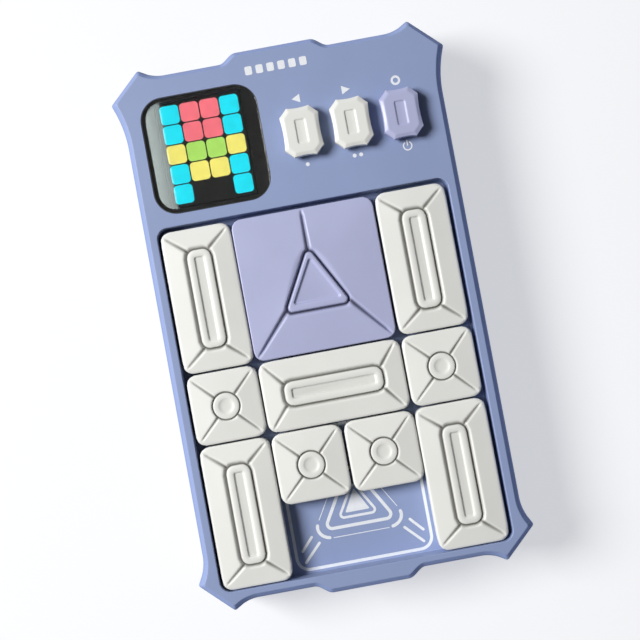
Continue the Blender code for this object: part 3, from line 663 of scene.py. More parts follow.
def black_film(name, grey):
    shader = Shader(name)
    grain = shader.noise(1800.0, 2.0)
    shader.feed(Base_Color=shader.ramp(grain, [(0.3, (grey * 0.8,) * 3), (0.7, (grey * 1.2,) * 3)]),
                Roughness=shader.spread(grain, 0.5, 0.6))
    return shader.material


def lit_cell(name, colour):
    """A diffusing cell that glows evenly, a little brighter in places."""
    shader = Shader(name)
    milk = shader.noise(500.0, 2.0)
    shader.feed(Base_Color=shader.ramp(milk, [(0.3, tint(colour, 0.50)), (0.7, tint(colour, 0.56))]),
                Emission_Strength=shader.spread(milk, 1.20, 1.32))
    shader.set(Roughness=0.6, Emission_Color=(*colour, 1.0))
    return shader.material


def ink(name):
    """Slightly uneven white printing."""
    shader = Shader(name)
    patch = shader.noise(900.0, 3.0)
    shader.feed(Base_Color=shader.ramp(patch, [(0.25, tint(INK, 0.94)), (0.7, INK)]),
                Roughness=shader.spread(patch, 0.42, 0.55),
                Normal=shader.bump(patch, 0.01 * MM, 0.4))
    return shader.material


# ---------------------------------------------------------------- tile caps and button caps

class Curve:
    """A closed anticlockwise outline that can be read at any point along it."""

    def __init__(self, outline, turn_weight=TURN_WEIGHT):
        self.points = [Vector(point) for point in outline]
        count = len(self.points)
        edges = [(self.points[(here + 1) % count] - self.points[here]) for here in range(count)]
        self.normals = []
        for here in range(count):
            joined = edges[here].normalized() + edges[here - 1].normalized()
            self.normals.append(Vector((joined.y, -joined.x)).normalized())
        self.marks = [0.0]
        for here in range(count):
            turn = self.normals[here].angle(self.normals[(here + 1) % count])
            self.marks.append(self.marks[-1] + edges[here].length + turn * turn_weight)
        self.length = self.marks[-1]

    def crossing(self, start, heading):
        """Where a line leaves the outline, going along its heading, as a mark along the outline."""
        best = None
        count = len(self.points)
        for here in range(count):
            a, b = self.points[here], self.points[(here + 1) % count]
            edge = b - a
            across = heading.x * edge.y - heading.y * edge.x
            if abs(across) < 1e-12:
                continue
            gap = a - start
            along = (gap.x * edge.y - gap.y * edge.x) / across
            part = (gap.x * heading.y - gap.y * heading.x) / across
            if -1e-9 <= part <= 1 and (best is None or along > best[0]):
                best = (along, self.marks[here] + part * (self.marks[here + 1] - self.marks[here]))
        return best[1]

    def at(self, mark):
        """Point and outward normal at a mark."""
        mark %= self.length
        low, high = 0, len(self.points)
        while high - low > 1:
            middle = (low + high) // 2
            if self.marks[middle] <= mark:
                low = middle
            else:
                high = middle
        part = (mark - self.marks[low]) / max(self.marks[low + 1] - self.marks[low], 1e-12)
        after = (low + 1) % len(self.points)
        point = self.points[low].lerp(self.points[after], part)
        normal = self.normals[low].lerp(self.normals[after], part).normalized()
        return point, normal

    def stations(self, hips, offsets, between):
        """Points near each hip line at fixed offsets from it, and evenly spread points between the hips."""
        clusters = []
        for start, heading in hips:
            side = Vector((-heading.y, heading.x))
            clusters.append([self.crossing(start + side * offset, heading) for offset in offsets])
        found = []
        for cluster, following in zip(clusters, clusters[1:] + clusters[:1]):
            found.extend(cluster)
            last, ahead = cluster[-1], following[0]
            while ahead < last:
                ahead += self.length
            found.extend(last + (ahead - last) * step / (between + 1) for step in range(1, between + 1))
        return [self.at(mark) for mark in found]


def ease(t):
    """Smooth step from 0 to 1."""
    t = min(max(t, 0.0), 1.0)
    return t * t * (3 - 2 * t)


def hip_groove(offset, half, depth):
    """Depth of a hip groove at a distance from its middle."""
    return depth * (1 - ease(abs(offset) / half))


def tile_rows(spec):
    """Rows of points over one tile cap, from its hidden ceiling, down inside, up outside and over the top.

    The second result gives for each point how much painted shade it has, from 0 to 1: in the grooves, and a
    little on the floor of the recess.
    """
    outline = Curve(rounded(spec["outline"], TILE_ROUND, 12))
    hips = [(Vector(inner), (Vector(outer) - Vector(inner)).normalized()) for inner, outer in spec["hips"]]
    between = spec["between"]
    hip_width, hip_depth = spec["hip"]
    spread = [offset * hip_width for offset in HIP_OFFSETS]
    rim = outline.stations(hips, spread, between)
    groove = Curve(spec["ring"]).stations(hips, spread, between)
    inner = Curve(spec["recess"]).stations(hips, [offset * spec["squeeze"] for offset in spread], between)
    count = len(rim)
    offsets = (spread + [None] * between) * len(hips)
    soft, steep, deep, plateau = spec["soft"], spec["steep"], spec["deep"], spec["plateau"]
    ring_drop = spec["crown"] * BEAD_SHARE
    shades = []

    def row(point_at, height_at, shade_at=lambda here: 0.0):
        shades.extend(shade_at(here) for here in range(count))
        return [(*point_at(here), height_at(here)) for here in range(count)]

    def rim_in(distance):
        return lambda here: rim[here][0] - rim[here][1] * distance

    def groove_in(distance):
        return lambda here: groove[here][0] - groove[here][1] * distance

    def flat(height):
        return lambda here: height

    def roof_point(t):
        return lambda here: rim_in(EAVE_ROUND)(here).lerp(groove_in(-soft)(here), t)

    def hip_depth_at(t, half, depth):
        """How deep the nearest hip groove is, part `t` of the way from the eave to the ring."""
        def depth_at(here):
            if offsets[here] is None:
                return 0.0
            run = (rim[here][0] - groove[here][0]).length
            return hip_groove(offsets[here], half, depth) * ease((t * run - HIP_START) / HIP_FADE)
        return depth_at

    def roof_height(t):
        sunk = hip_depth_at(t, HIP_HALF * hip_width, hip_depth)
        return lambda here: spec["roof"](roof_point(t)(here), t) - sunk(here)

    # painted shade along the hip grooves, darker towards the ring
    def hip_shade(t):
        return hip_depth_at(t, HIP_HALF * hip_width * 0.85, 0.4 + 0.6 * t)

    rows = [
        row(rim_in(TILE_WALL), flat(TILE_CEILING)),
        row(rim_in(TILE_WALL), flat(TILE_LOW)),
        row(rim_in(TILE_FOOT), flat(TILE_LOW)),
        row(rim_in(0.0), flat(TILE_LOW + TILE_FOOT)),
    ]
    for step in range(5):
        angle = math.pi / 2 * step / 4.35
        rows.append(row(rim_in(EAVE_ROUND * (1 - math.cos(angle))),
                        flat(TILE_EAVE - EAVE_ROUND * (1 - math.sin(angle)))))
    for t in (0.0, 0.08, 0.17, 0.28, 0.42, 0.58, 0.72, 0.84, 0.93, 1.0):
        rows.append(row(roof_point(t), roof_height(t), hip_shade(t)))
    eave_end, shade_end = roof_height(1.0), hip_shade(1.0)
    # down into the ring groove, with painted shade over its bottom and, for `dark` outwards, over its outer
    # side
    for part in (0.78, 0.58, 0.42, 0.28, 0.14, 0.0):
        fall = 1 - ease(part)
        shade = 1 - ease(soft * part / spec["dark"])
        rows.append(row(groove_in(-soft * part),
                        lambda here: eave_end(here) + (plateau - deep - eave_end(here)) * fall,
                        lambda here: max(shade, shade_end(here))))
    # up the inner side of the ring groove, the painted shade fading out
    for part in (0.3, 0.6, 0.85):
        rise = ease(part)
        rows.append(row(groove_in(steep * part), flat(plateau - deep * (1 - rise) - ring_drop * rise),
                        flat(1 - rise)))
    for part in (0.0, 0.07, 0.18, 0.33, 0.5, 0.67, 0.82, 0.93, 1.0):
        swell = abs(2 * part - 1) ** spec["bulge"]
        rows.append(row(lambda here: groove_in(steep)(here).lerp(inner[here][0], part),
                        flat(plateau - ring_drop * swell)))
    # the recess floor, with a little painted shade that deepens towards its middle
    for along, drop in spec["bowl"]:
        rows.append(row(lambda here: spec["bowl_point"](*inner[here], along),
                        flat(plateau - ring_drop - (spec["bed"] - ring_drop) * drop),
                        flat(spec["painted_recess_shade"] * drop)))
    return rows, shades


def hipped_roof(half_width, half_length):
    """Height of four flat slopes that rise from the edges."""
    def height(point, t):
        distance = min(half_width - abs(point.x), half_length - abs(point.y))
        return TILE_EAVE + ROOF_SLOPE * (distance - EAVE_ROUND * 0.4)
    return height


def ruled_roof(rise):
    """Height that goes straight from the eave to the ring."""
    def height(point, t):
        return TILE_EAVE + rise * t
    return height


def inwards(point, normal, along):
    """A point moved along its normal, which narrows a recess evenly."""
    return point - normal * along


def to_middle(point, normal, part):
    """A point moved towards the middle of the tile, which narrows a round dimple."""
    return point * (1 - part)


def bar_tile(half_width, half_length):
    """Relief of a tall tile. A wide tile is the same, turned by a right angle."""
    ring_half, ring_end = BAR_RING
    hips = [((sx * (ring_half - 0.45 * MM), sy * (ring_end - 0.40 * MM)),
             (sx * (half_width - 0.75 * MM), sy * (half_length - 1.25 * MM))) for sx, sy in CORNERS]
    recess = rectangle(2 * (ring_half - BAR_BEAD), 2 * (ring_end - BAR_BEAD))
    return {
        "outline": rectangle(2 * half_width, 2 * half_length), "hips": hips,
        "ring": rounded(rectangle(2 * ring_half, 2 * ring_end), 2.5 * MM, 10),
        "recess": rounded(recess, 0.7 * MM, 8),
        "between": 11, "squeeze": 0.3, "soft": 1.05 * MM, "steep": 0.34 * MM, "deep": 0.72 * MM,
        "hip": (1.25, 0.42 * MM), "dark": 0.80 * MM, "crown": 0.24 * MM, "bed": 0.50 * MM, "bulge": 2.2,
        "roof": hipped_roof(half_width, half_length), "painted_recess_shade": 0.10,
        "plateau": TILE_EAVE + 0.72 * MM, "bowl_point": inwards,
        "bowl": ((0.10 * MM, 0.35), (0.28 * MM, 0.80), (0.42 * MM, 0.96), (0.56 * MM, 1.0)),
    }


def small_tile(half):
    reach = SMALL_RING * math.sqrt(0.5) - 0.3 * MM
    end = half - 0.9 * MM
    return {
        "outline": rectangle(2 * half, 2 * half), "ring": circle(SMALL_RING, steps=96),
        "recess": circle(DIMPLE, steps=96),
        "hips": [((sx * reach, sy * reach), (sx * end, sy * end)) for sx, sy in CORNERS],
        "between": 8, "squeeze": 0.55, "soft": 0.44 * MM, "steep": 0.28 * MM, "deep": 0.58 * MM,
        "hip": (1.2, 0.42 * MM), "dark": 0.40 * MM, "crown": 0.14 * MM, "bed": 0.30 * MM, "bulge": 3.2,
        "roof": hipped_roof(half, half), "painted_recess_shade": 0.05,
        "plateau": TILE_EAVE + 0.68 * MM, "bowl_point": to_middle,
        "bowl": tuple((1 - along, 1 - along ** 4) for along in (0.92, 0.82, 0.68, 0.5, 0.3, 0.12)),
    }


def large_tile(half):
    end = half - 0.85 * MM
    return {
        "outline": rectangle(2 * half, 2 * half),
        "ring": rounded(triangle(9.6 * MM, -8.4 * MM, 9.4 * MM), 1.5 * MM, 10),
        "recess": rounded(triangle(6.9 * MM, -6.3 * MM, 6.3 * MM), 0.7 * MM, 8),
        "hips": [((0.0, 8.0 * MM), (0.0, half)),
                 ((-8.6 * MM, -7.7 * MM), (-end, -end)), ((8.6 * MM, -7.7 * MM), (end, -end))],
        "between": 24, "squeeze": 0.4, "soft": 0.80 * MM, "steep": 0.50 * MM, "deep": 1.05 * MM,
        "hip": (1.35, 0.70 * MM), "dark": 0.62 * MM, "crown": 0.20 * MM, "bed": 0.58 * MM, "bulge": 5.0,
        "roof": ruled_roof(0.62 * MM), "painted_recess_shade": 0.03,
        "plateau": TILE_EAVE + 0.64 * MM, "bowl_point": inwards,
        "bowl": ((0.12 * MM, 0.30), (0.30 * MM, 0.72), (0.46 * MM, 0.95), (0.62 * MM, 1.0)),
    }


def tile_caps(white, lilac):
    half = (CELL - TILE_GAP) / 2
    long_half = CELL - TILE_GAP / 2
    bar, bar_shades = tile_rows(bar_tile(half, long_half))
    turned_bar = [[(-y, x, z) for x, y, z in row] for row in bar]
    reliefs = {
        (1, 1): tile_rows(small_tile(half)),
        (1, 2): (bar, bar_shades),
        (2, 1): (turned_bar, bar_shades),
        (2, 2): tile_rows(large_tile(long_half)),
    }
    for name, column, row, columns, rows, slip in TILES:
        x = (column + columns / 2 - COLUMNS / 2) * CELL + TILE_SHIFT[0] + slip
        y = TRAY_Y + (ROWS / 2 - row - rows / 2) * CELL + TILE_SHIFT[1]
        relief, shades = reliefs[columns, rows]
        maker = bmesh.new()
        skin(maker, [[(px + x, py + y, z) for px, py, z in points] for points in relief])
        cap = smooth(new_object(f"{name}_shell", maker), 50.0)
        # painted shade for each point, which the tiles' materials read as the groove attribute
        cap.data.attributes.new("groove", "FLOAT", "POINT").data.foreach_set("value", shades)
        is_large = columns * rows == 4
        finish_piece(cap, name, "lilac_plastic" if is_large else "white_plastic",
                     lilac if is_large else white, f"{name}_cap")


def hollow_octagon(width, height, clip, sag):
    """An octagon whose four long sides bow inwards."""
    corners = [Vector(corner) for corner in octagon(width, height, clip)]
    points = []
    for here, (start, end) in enumerate(zip(corners, corners[1:] + corners[:1])):
        along = (end - start).normalized()
        inward = Vector((-along.y, along.x))
        bow = sag if here % 2 else sag * 0.15
        for t in [step / 8 for step in range(8)]:
            points.append(tuple(start.lerp(end, t) + inward * bow * math.sin(math.pi * t) ** 0.8))
    return points


def button_cap(name, x, material, slot):
    """A cap with flared corners, a flat top and a finger groove, on a neck with snap hooks."""
    width, height = BUTTON_SIZE
    run, drop = BUTTON_SLOPE
    groove_wide, groove_long, groove_deep = BUTTON_GROOVE
    corners = octagon(width, height, BUTTON_CLIP)
    hips = [(Vector((0.0, 0.0)), Vector(corner).normalized()) for corner in corners]
    hips.sort(key=lambda hip: math.atan2(hip[1].y, hip[1].x))
    offsets = [-0.18 * MM, 0.0, 0.18 * MM]
    outer = Curve(hollow_octagon(width, height, BUTTON_CLIP, BUTTON_SAG), 0.0)
    inner = Curve(octagon(width - 2 * run, height - 2 * run, BUTTON_CLIP * 0.72), 0.0)
    slot_edge = Curve(rounded(rectangle(groove_wide, groove_long), 0.5 * MM, 6), 2 * MM)
    rim, top, edge = [curve.stations(hips, offsets, 8) for curve in (outer, inner, slot_edge)]
    place = Vector((x, BUTTON_Y))

    def row(stations, distance, z):
        return [(point.x - normal.x * distance + x, point.y - normal.y * distance + BUTTON_Y, z)
                for point, normal in stations]

    def mix(part, z):
        return level([low.lerp(high, part) + place for (low, _), (high, _) in zip(rim, top)], z)

    brow = BUTTON_TOP - drop
    rows = [row(rim, 0.35 * MM, BUTTON_LOW), row(rim, 0.1 * MM, BUTTON_LOW + 0.08 * MM),
            row(rim, 0.0, BUTTON_LOW + 0.3 * MM), row(rim, 0.0, brow - 0.22 * MM),
            row(rim, 0.04 * MM, brow - 0.08 * MM), mix(0.10, brow + 0.05 * MM)]
    rows.extend(mix(part, brow + drop * part * 0.97) for part in (0.3, 0.55, 0.8))
    rows.extend([mix(0.93, BUTTON_TOP - 0.05 * MM), row(top, 0.08 * MM, BUTTON_TOP),
                 row(top, 0.4 * MM, BUTTON_TOP)])
    for distance, sink in BUTTON_GROOVE_EDGE:
        rows.append(row(edge, distance, BUTTON_TOP - sink * groove_deep))
    maker = bmesh.new()
    skin(maker, rows)
    cap = new_object(f"{name}_cap", maker)
    hook_size = (BUTTON_NECK[0] - 2 * MM, BUTTON_NECK[1] + 2 * BUTTON_HOOK)
    neck = prism("neck", rounded(rectangle(*BUTTON_NECK, x, BUTTON_Y), 0.8 * MM, 4),
                 (BUTTON_HOOK_Z[0], BUTTON_LOW + 0.5 * MM))
    hooks = prism("hooks", rounded(rectangle(*hook_size, x, BUTTON_Y), 0.4 * MM, 3), BUTTON_HOOK_Z)
    combine(cap, joined=(neck, hooks))
    smooth(cap, 28.0)
    finish_piece(cap, name, slot, material, name)


# ---------------------------------------------------------------- case

def hollow_outline(outwards=0.0):
    return rounded(rectangle(2 * (CAVITY[0] + outwards), 2 * (CAVITY[1] + outwards)), CAVITY_ROUND, 6)


def mirrored(spot):
    return [(sx * spot[0], sy * spot[1]) for sx in (-1, 1) for sy in (1, -1)]


def front_housing(material):
    """Front shell with softened edges, its tray, screen recess and button holes."""
    profile = eased([
        (SEAM_BREAK, SEAM_HIGH), (0.0, SEAM_HIGH + SEAM_BREAK), (0.0, FACE_Z - FRONT_CHAMFER * 1.7),
        (FRONT_CHAMFER * 0.3, FACE_Z - FRONT_CHAMFER * 0.85), (FRONT_CHAMFER, FACE_Z),
        (FRONT_CHAMFER + 0.35 * MM, FACE_Z)], EDGE_ROUND)
    shell = loft("front_case", [(case_outline(distance), z) for distance, z in profile])
    under_tray = TRAY_FLOOR - TRAY_FLOOR_WALL
    upper_low = TRAY_Y + TRAY_SIZE[1] / 2 + END_WALL
    upper = rectangle(2 * CAVITY[0], CAVITY[1] - upper_low, 0.0, (CAVITY[1] + upper_low) / 2)
    tray = rounded(rectangle(*TRAY_SIZE, 0.0, TRAY_Y), TRAY_ROUND, 10)
    recess = rectangle(LENS_SIZE[0] + 2 * GAP, LENS_SIZE[1] + 2 * GAP, *SCREEN_AT)
    holes = []
    for name, x in BUTTONS:
        hole = rectangle(BUTTON_NECK[0] + 2 * GAP, BUTTON_NECK[1] + 2 * GAP, x, BUTTON_Y)
        holes.append(pocket(f"{name}_hole", rounded(hole, MM, 5), CEILING_Z - WALL, FACE_Z, SOFT_EDGE))
    bosses = []
    for side, (x, y) in enumerate(mirrored(SCREW_AT)):
        boss_top = (CEILING_Z if y > 0 else under_tray) + GAP
        bosses.append(cylinders(f"boss_{side}", [(x, y)], BOSS_RADIUS, (SEAM_HIGH + GAP, boss_top)))
    below = SEAM_LOW - WALL
    combine(shell, cut=[
        prism("hollow_cut", hollow_outline(), (below, under_tray)),
        prism("lip_seat_cut", hollow_outline(LIP_THICK + GAP), (below, SEAM_LOW + LIP_HIGH + GAP)),
        prism("upper_hollow_cut", rounded(upper, 2 * MM, 4), (under_tray - WALL, CEILING_Z)),
        pocket("tray_cut", tray, TRAY_FLOOR, FACE_Z, SOFT_EDGE, floor_round=0.4 * MM),
        pocket("lens_recess_cut", rounded(recess, LENS_ROUND + GAP, 10), LEDGE_Z, FACE_Z, SOFT_EDGE / 2),
        prism("window_cut", rectangle(*WINDOW_SIZE, *SCREEN_AT), (CEILING_Z - WALL, FACE_Z)),
        *holes,
    ])
    pilots = cylinders("pilot_cut", mirrored(SCREW_AT), SCREW_HOLE, (below, under_tray - 0.4 * MM))
    combine(shell, joined=bosses, cut=[pilots])
    smooth(shell, 32.0, weighted=True)
    finish_piece(shell, "case", "case_plastic", material, "front_housing")


def grille_spots():
    spots = [SPEAKER_AT]
    for count, radius in ((6, 3.4 * MM), (12, 6.8 * MM)):
        spots.extend(circle(radius, *SPEAKER_AT, count))
    return spots


def foot_spots():
    return [(x, y) for x in (-FOOT_X, FOOT_X) for y in FOOT_ROWS]


def back_cover(material):
    """Back shell with its battery bay, screw wells, foot recesses and speaker grille."""
    inside = BACK_Z + WALL
    root = BACK_Z + 1 * MM
    profile = eased([(BACK_CHAMFER + 0.3 * MM, BACK_Z), (BACK_CHAMFER, BACK_Z), (0.0, BACK_Z + BACK_CHAMFER),
                     (0.0, SEAM_LOW - SEAM_BREAK), (SEAM_BREAK, SEAM_LOW)], EDGE_ROUND)
    shell = loft("back_case", [(case_outline(distance), z) for distance, z in profile])
    bay_range = (BAY_Y - TUB_HALF[1], BAY_Y + TUB_HALF[1])
    combine(shell, joined=[prism("lip", hollow_outline(LIP_THICK), (SEAM_LOW - WALL, SEAM_LOW + LIP_HIGH))])
    combine(shell, cut=[prism("back_hollow_cut", hollow_outline(), (inside, SEAM_LOW + 2 * WALL))])
    combine(shell, joined=[
        boxes("door_seat", [(SEAT_X, bay_range, (BACK_Z + 0.2 * MM, SEAT_TOP))]),
        boxes("battery_tub", [((-TUB_HALF[0], TUB_HALF[0]), bay_range, (SEAT_TOP - WALL, TUB_TOP))]),
    ])
    door_hole = rectangle(DOOR_LENGTH + 2 * GAP, 2 * (DOOR_HALF + GAP), DOOR_HINGE_X + DOOR_LENGTH / 2, BAY_Y)
    slot_x = (SEAT_X[0] - 1 * MM, DOOR_HINGE_X + TAB_X[1] + GAP)
    slot_z = (BACK_Z + TAB_Z[0] - GAP, BACK_Z + TAB_Z[1] + 2 * GAP)
    slot_half = TAB_WIDTH / 2 + GAP
    slots = [(slot_x, (BAY_Y + y - slot_half, BAY_Y + y + slot_half), slot_z) for y in (-TAB_Y, TAB_Y)]
    bay_y = (BAY_Y - BAY_HALF[1], BAY_Y + BAY_HALF[1])
    combine(shell, cut=[
        pocket_below("door_pocket_cut", rounded(door_hole, 1.2 * MM, 5), BACK_Z + DOOR_THICK + GAP, 0.2 * MM),
        boxes("bay_cut", [((-BAY_HALF[0], BAY_HALF[0]), bay_y, (BACK_Z, BAY_TOP))]),
        boxes("tab_slot_cut", slots),
    ])
    door_screw = [(DOOR_SCREW_X, BAY_Y)]
    ring_outer = SPEAKER_RADIUS + 1.6 * MM
    combine(shell, joined=[
        cylinders("door_screw_boss", door_screw, 3 * MM, (SEAT_TOP - 1 * MM, 9 * MM)),
        cylinders("screw_posts", mirrored(SCREW_AT), POST_RADIUS, (root, SEAM_HIGH)),
        cylinders("board_pillars", PILLARS, 2 * MM, (root, PILLAR_TOP)),
        cylinders("speaker_ring", [SPEAKER_AT], ring_outer, (root, inside + 2.4 * MM), 64),
    ])
    well_top = SCREW_HEAD_Z + SCREW_HEAD[1] + GAP
    wells = [pocket_below(f"well_{side}", circle(SCREW_HEAD[0] + GAP, *spot, 32), well_top, 0.25 * MM)
             for side, spot in enumerate(mirrored(SCREW_AT))]
    foot_recesses = [
        pocket_below(f"foot_recess_{side}", circle(FOOT_RADIUS + GAP, *spot, 40), FOOT_THICK + GAP, 0.15 * MM)
        for side, spot in enumerate(foot_spots())]
    grille = [pocket_below(f"grille_{hole}", circle(0.9 * MM, *spot, 16), inside + 1 * MM, 0.2 * MM)
              for hole, spot in enumerate(grille_spots())]
    combine(shell, cut=[
        cylinders("door_pilot_cut", door_screw, SCREW_HOLE, (BACK_Z, 8 * MM)),
        *wells,
        cylinders("screw_hole_cut", mirrored(SCREW_AT), SCREW_HOLE, (BACK_Z, SEAM_HIGH + WALL)),
        cylinders("speaker_seat_cut", [SPEAKER_AT], SPEAKER_RADIUS + GAP, (inside, inside + WALL * 2), 64),
        *grille,
        *foot_recesses,
    ])
    smooth(shell, 32.0, weighted=True)
    finish_piece(shell, "case", "back_plastic", material, "back_cover")


def battery_door(material):
    """Door plate with softened edges, two tabs, a screw seat and finger ridges."""
    plate = rounded(rectangle(DOOR_LENGTH, 2 * DOOR_HALF, DOOR_HINGE_X + DOOR_LENGTH / 2, BAY_Y), 1.0 * MM, 5)
    door = loft("battery_door_panel", [
        (inset(plate, 0.25 * MM), BACK_Z), (inset(plate, 0.07 * MM), BACK_Z + 0.07 * MM),
        (plate, BACK_Z + 0.25 * MM), (plate, BACK_Z + DOOR_THICK)])
    tab_x = (DOOR_HINGE_X + TAB_X[0], DOOR_HINGE_X + TAB_X[1])
    root_x = (DOOR_HINGE_X + TAB_ROOT_X, DOOR_HINGE_X + TAB_X[1])
    tabs = []
    for side in (-1, 1):
        across = (BAY_Y + side * TAB_Y - TAB_WIDTH / 2, BAY_Y + side * TAB_Y + TAB_WIDTH / 2)
        tabs.append(boxes(f"root_{side}", [(root_x, across, (BACK_Z + DOOR_THICK / 2, BACK_Z + 3 * MM))]))
        tabs.append(boxes(f"tab_{side}", [(tab_x, across, (BACK_Z + TAB_Z[0], BACK_Z + TAB_Z[1]))]))
    ridges = []
    for line in range(4):
        ridge = rounded(rectangle(0.9 * MM, 12 * MM, DOOR_SCREW_X - (7 + 2 * line) * MM, BAY_Y), 0.4 * MM, 4)
        ridges.append(pocket_below(f"ridge_{line}", ridge, BACK_Z + 0.5 * MM, 0.15 * MM))
    seat = circle(SCREW_HEAD[0] + GAP, DOOR_SCREW_X, BAY_Y, 32)
    combine(door, joined=tabs, cut=[
        pocket_below("head_seat", seat, BACK_Z + 1.3 * MM, 0.2 * MM),
        cylinders("shank_hole", [(DOOR_SCREW_X, BAY_Y)], SCREW_HOLE, (0.0, BACK_Z + 2 * WALL)),
        *ridges,
    ])
    smooth(door, 32.0, weighted=True)
    finish_piece(door, "battery_door", "back_plastic", material, "battery_door")


# ---------------------------------------------------------------- small parts

def turned(name, profile, at, steps=40):
    """A closed turned mesh from (radius, height) points."""
    x, y, base = at
    maker = bmesh.new()
    skin(maker, [level(circle(radius, x, y, steps), base + height) for radius, height in profile])
    return new_object(name, maker)


def screw(name, body, at, head, shank, material):
    """A pan-head screw that points up, with a cross recess in its head and rings for its thread."""
    radius, thick = head
    core, length = shank
    valley = core * 0.82
    profile = [(0.3 * MM, 0.0), (radius * 0.6, 0.0), (radius * 0.88, thick * 0.16), (radius, thick * 0.45),
               (radius, thick), (core, thick)]
    for ring in range(int((length - 2 * THREAD_PITCH) / THREAD_PITCH)):
        low = thick + THREAD_PITCH / 2 + ring * THREAD_PITCH
        profile.extend([(valley, low), (core, low + THREAD_PITCH * 0.4), (valley, low + THREAD_PITCH * 0.8)])
    profile.extend([(core * 0.8, thick + length - THREAD_PITCH), (0.2 * MM, thick + length)])
    made = turned(name, profile, at, 28)
    arm, width = radius * 0.62, radius * 0.17
    cross = []
    for across, along in ((arm, width), (width, arm)):
        cross.append(boxes(f"cross_{len(cross)}", [(
            (at[0] - across, at[0] + across), (at[1] - along, at[1] + along),
            (at[2] - 1 * MM, at[2] + thick * 0.62))]))
    combine(made, cut=cross)
    smooth(made, 35.0)
    finish_piece(made, body, "steel", material, name.replace("_fixing", ""))


def rubber_foot(count, x, y, material):
    soft = 0.35 * MM
    profile = [(FOOT_RADIUS, FOOT_THICK)]
    profile.extend((FOOT_RADIUS - across, up) for across, up in quarter_round(soft))
    profile.extend([(FOOT_RADIUS - 1.0 * MM, 0.0), (FOOT_RADIUS - 1.15 * MM, 0.12 * MM)])
    made = smooth(turned(f"foot_pad_{count}", profile, (x, y, 0.0)), 40.0)
    finish_piece(made, "case", "foot_rubber", material, f"rubber_foot_{count}")


def screen(lens_material, mask_material, film_material):
    """Flat smoked lens with a bevelled edge, over a black film with glowing cells."""
    edge = rounded(rectangle(*LENS_SIZE, *SCREEN_AT), LENS_ROUND, 12)
    lens = loft("smoked_lens", [
        (inset(edge, 0.1 * MM), LENS_LOW), (edge, LENS_LOW + 0.1 * MM), (edge, FACE_Z - 0.02 * MM),
        (inset(edge, 0.1 * MM), FACE_Z + 0.06 * MM), (inset(edge, LENS_BEVEL), FACE_Z + LENS_RISE),
        (inset(edge, LENS_BEVEL + 0.2 * MM), FACE_Z + LENS_RISE)])
    smooth(lens, 10.0)
    finish_piece(lens, "case", "lens_smoke", lens_material, "screen_lens")

    hair = 0.05 * MM
    around = rounded(rectangle(LENS_SIZE[0] + 2 * hair, LENS_SIZE[1] + 2 * hair, *SCREEN_AT), LENS_ROUND, 12)
    outer = inset(around, -0.12 * MM)
    mask = loft("lens_mask", [(outer, LEDGE_Z + hair), (outer, FACE_Z - hair), (around, FACE_Z - hair),
                              (around, LENS_LOW - hair)])
    combine(mask, cut=[prism("window", rectangle(*WINDOW_SIZE, *SCREEN_AT), (LEDGE_Z - WALL, FACE_Z))])
    finish_piece(mask, "case", "lens_smoke", mask_material)

    film = prism("screen_film", rounded(rectangle(*FILM_SIZE, *SCREEN_AT), 0.8 * MM, 4), FILM_Z)
    finish_piece(film, "case", "diffuser_film", film_material, "diffuser")
    for letter, (word, colour) in LIGHT_COLOURS.items():
        maker = bmesh.new()
        for line, letters in enumerate(LIGHT_ROWS):
            for column in [place for place, found in enumerate(letters) if found == letter]:
                light_cell(maker, LIGHTS_AT[0] + (column - 1.5) * LIGHT_PITCH,
                           LIGHTS_AT[1] + (2 - line) * LIGHT_PITCH)
        lights = new_object(f"{word}_lights", maker)
        finish_piece(lights, "case", "diffuser_film", lit_cell(f"{word} light", colour))


def light_cell(maker, x, y):
    cell = rectangle(LIGHT_SIDE, LIGHT_SIDE, x, y)
    low = FILM_Z[1] + LIFT
    top = low + LIGHT_THICK
    skin(maker, [level(rounded(outline, LIGHT_ROUND, 5), z) for outline, z in (
        (cell, low), (cell, top), (inset(cell, 0.06 * MM), top + 0.04 * MM))])


# ---------------------------------------------------------------- printing

def ribbon(maker, path, width, low, closed=False):
    """A thin printed line along a path, with round ends if it is open."""
    if closed:
        outer, inner = inset(path, -width / 2), inset(path, width / 2)
        high = low + PRINT_THICK
        loops = [[maker.verts.new(point) for point in level(outline, z)]
                 for outline, z in ((inner, low), (outer, low), (outer, high), (inner, high))]
        for first, second in zip(loops, loops[1:] + loops[:1]):
            for here in range(len(path)):
                maker.faces.new((first[here - 1], first[here], second[here], second[here - 1]))
        return
    points = [Vector(point) for point in path]
    left, right = [], []
    for here, point in enumerate(points):
        before, after = points[max(here - 1, 0)], points[min(here + 1, len(points) - 1)]
        along = (after - before).normalized()
        side = Vector((-along.y, along.x)) * width / 2
        left.append(point + side)
        right.append(point - side)
    ends = []
    for middle, arm in ((points[-1], right[-1] - points[-1]), (points[0], left[0] - points[0])):
        ends.append([middle + Matrix.Rotation(math.pi * step / 6, 2) @ arm for step in range(1, 6)])
    slab(maker, right + ends[0] + left[::-1] + ends[1], low)


def slab(maker, outline, low):
    skin(maker, [level(outline, z) for z in (low, low + PRINT_THICK)])


def triangle(half_base, base_y, apex_y):
    return [(half_base, base_y), (0.0, apex_y), (-half_base, base_y)]


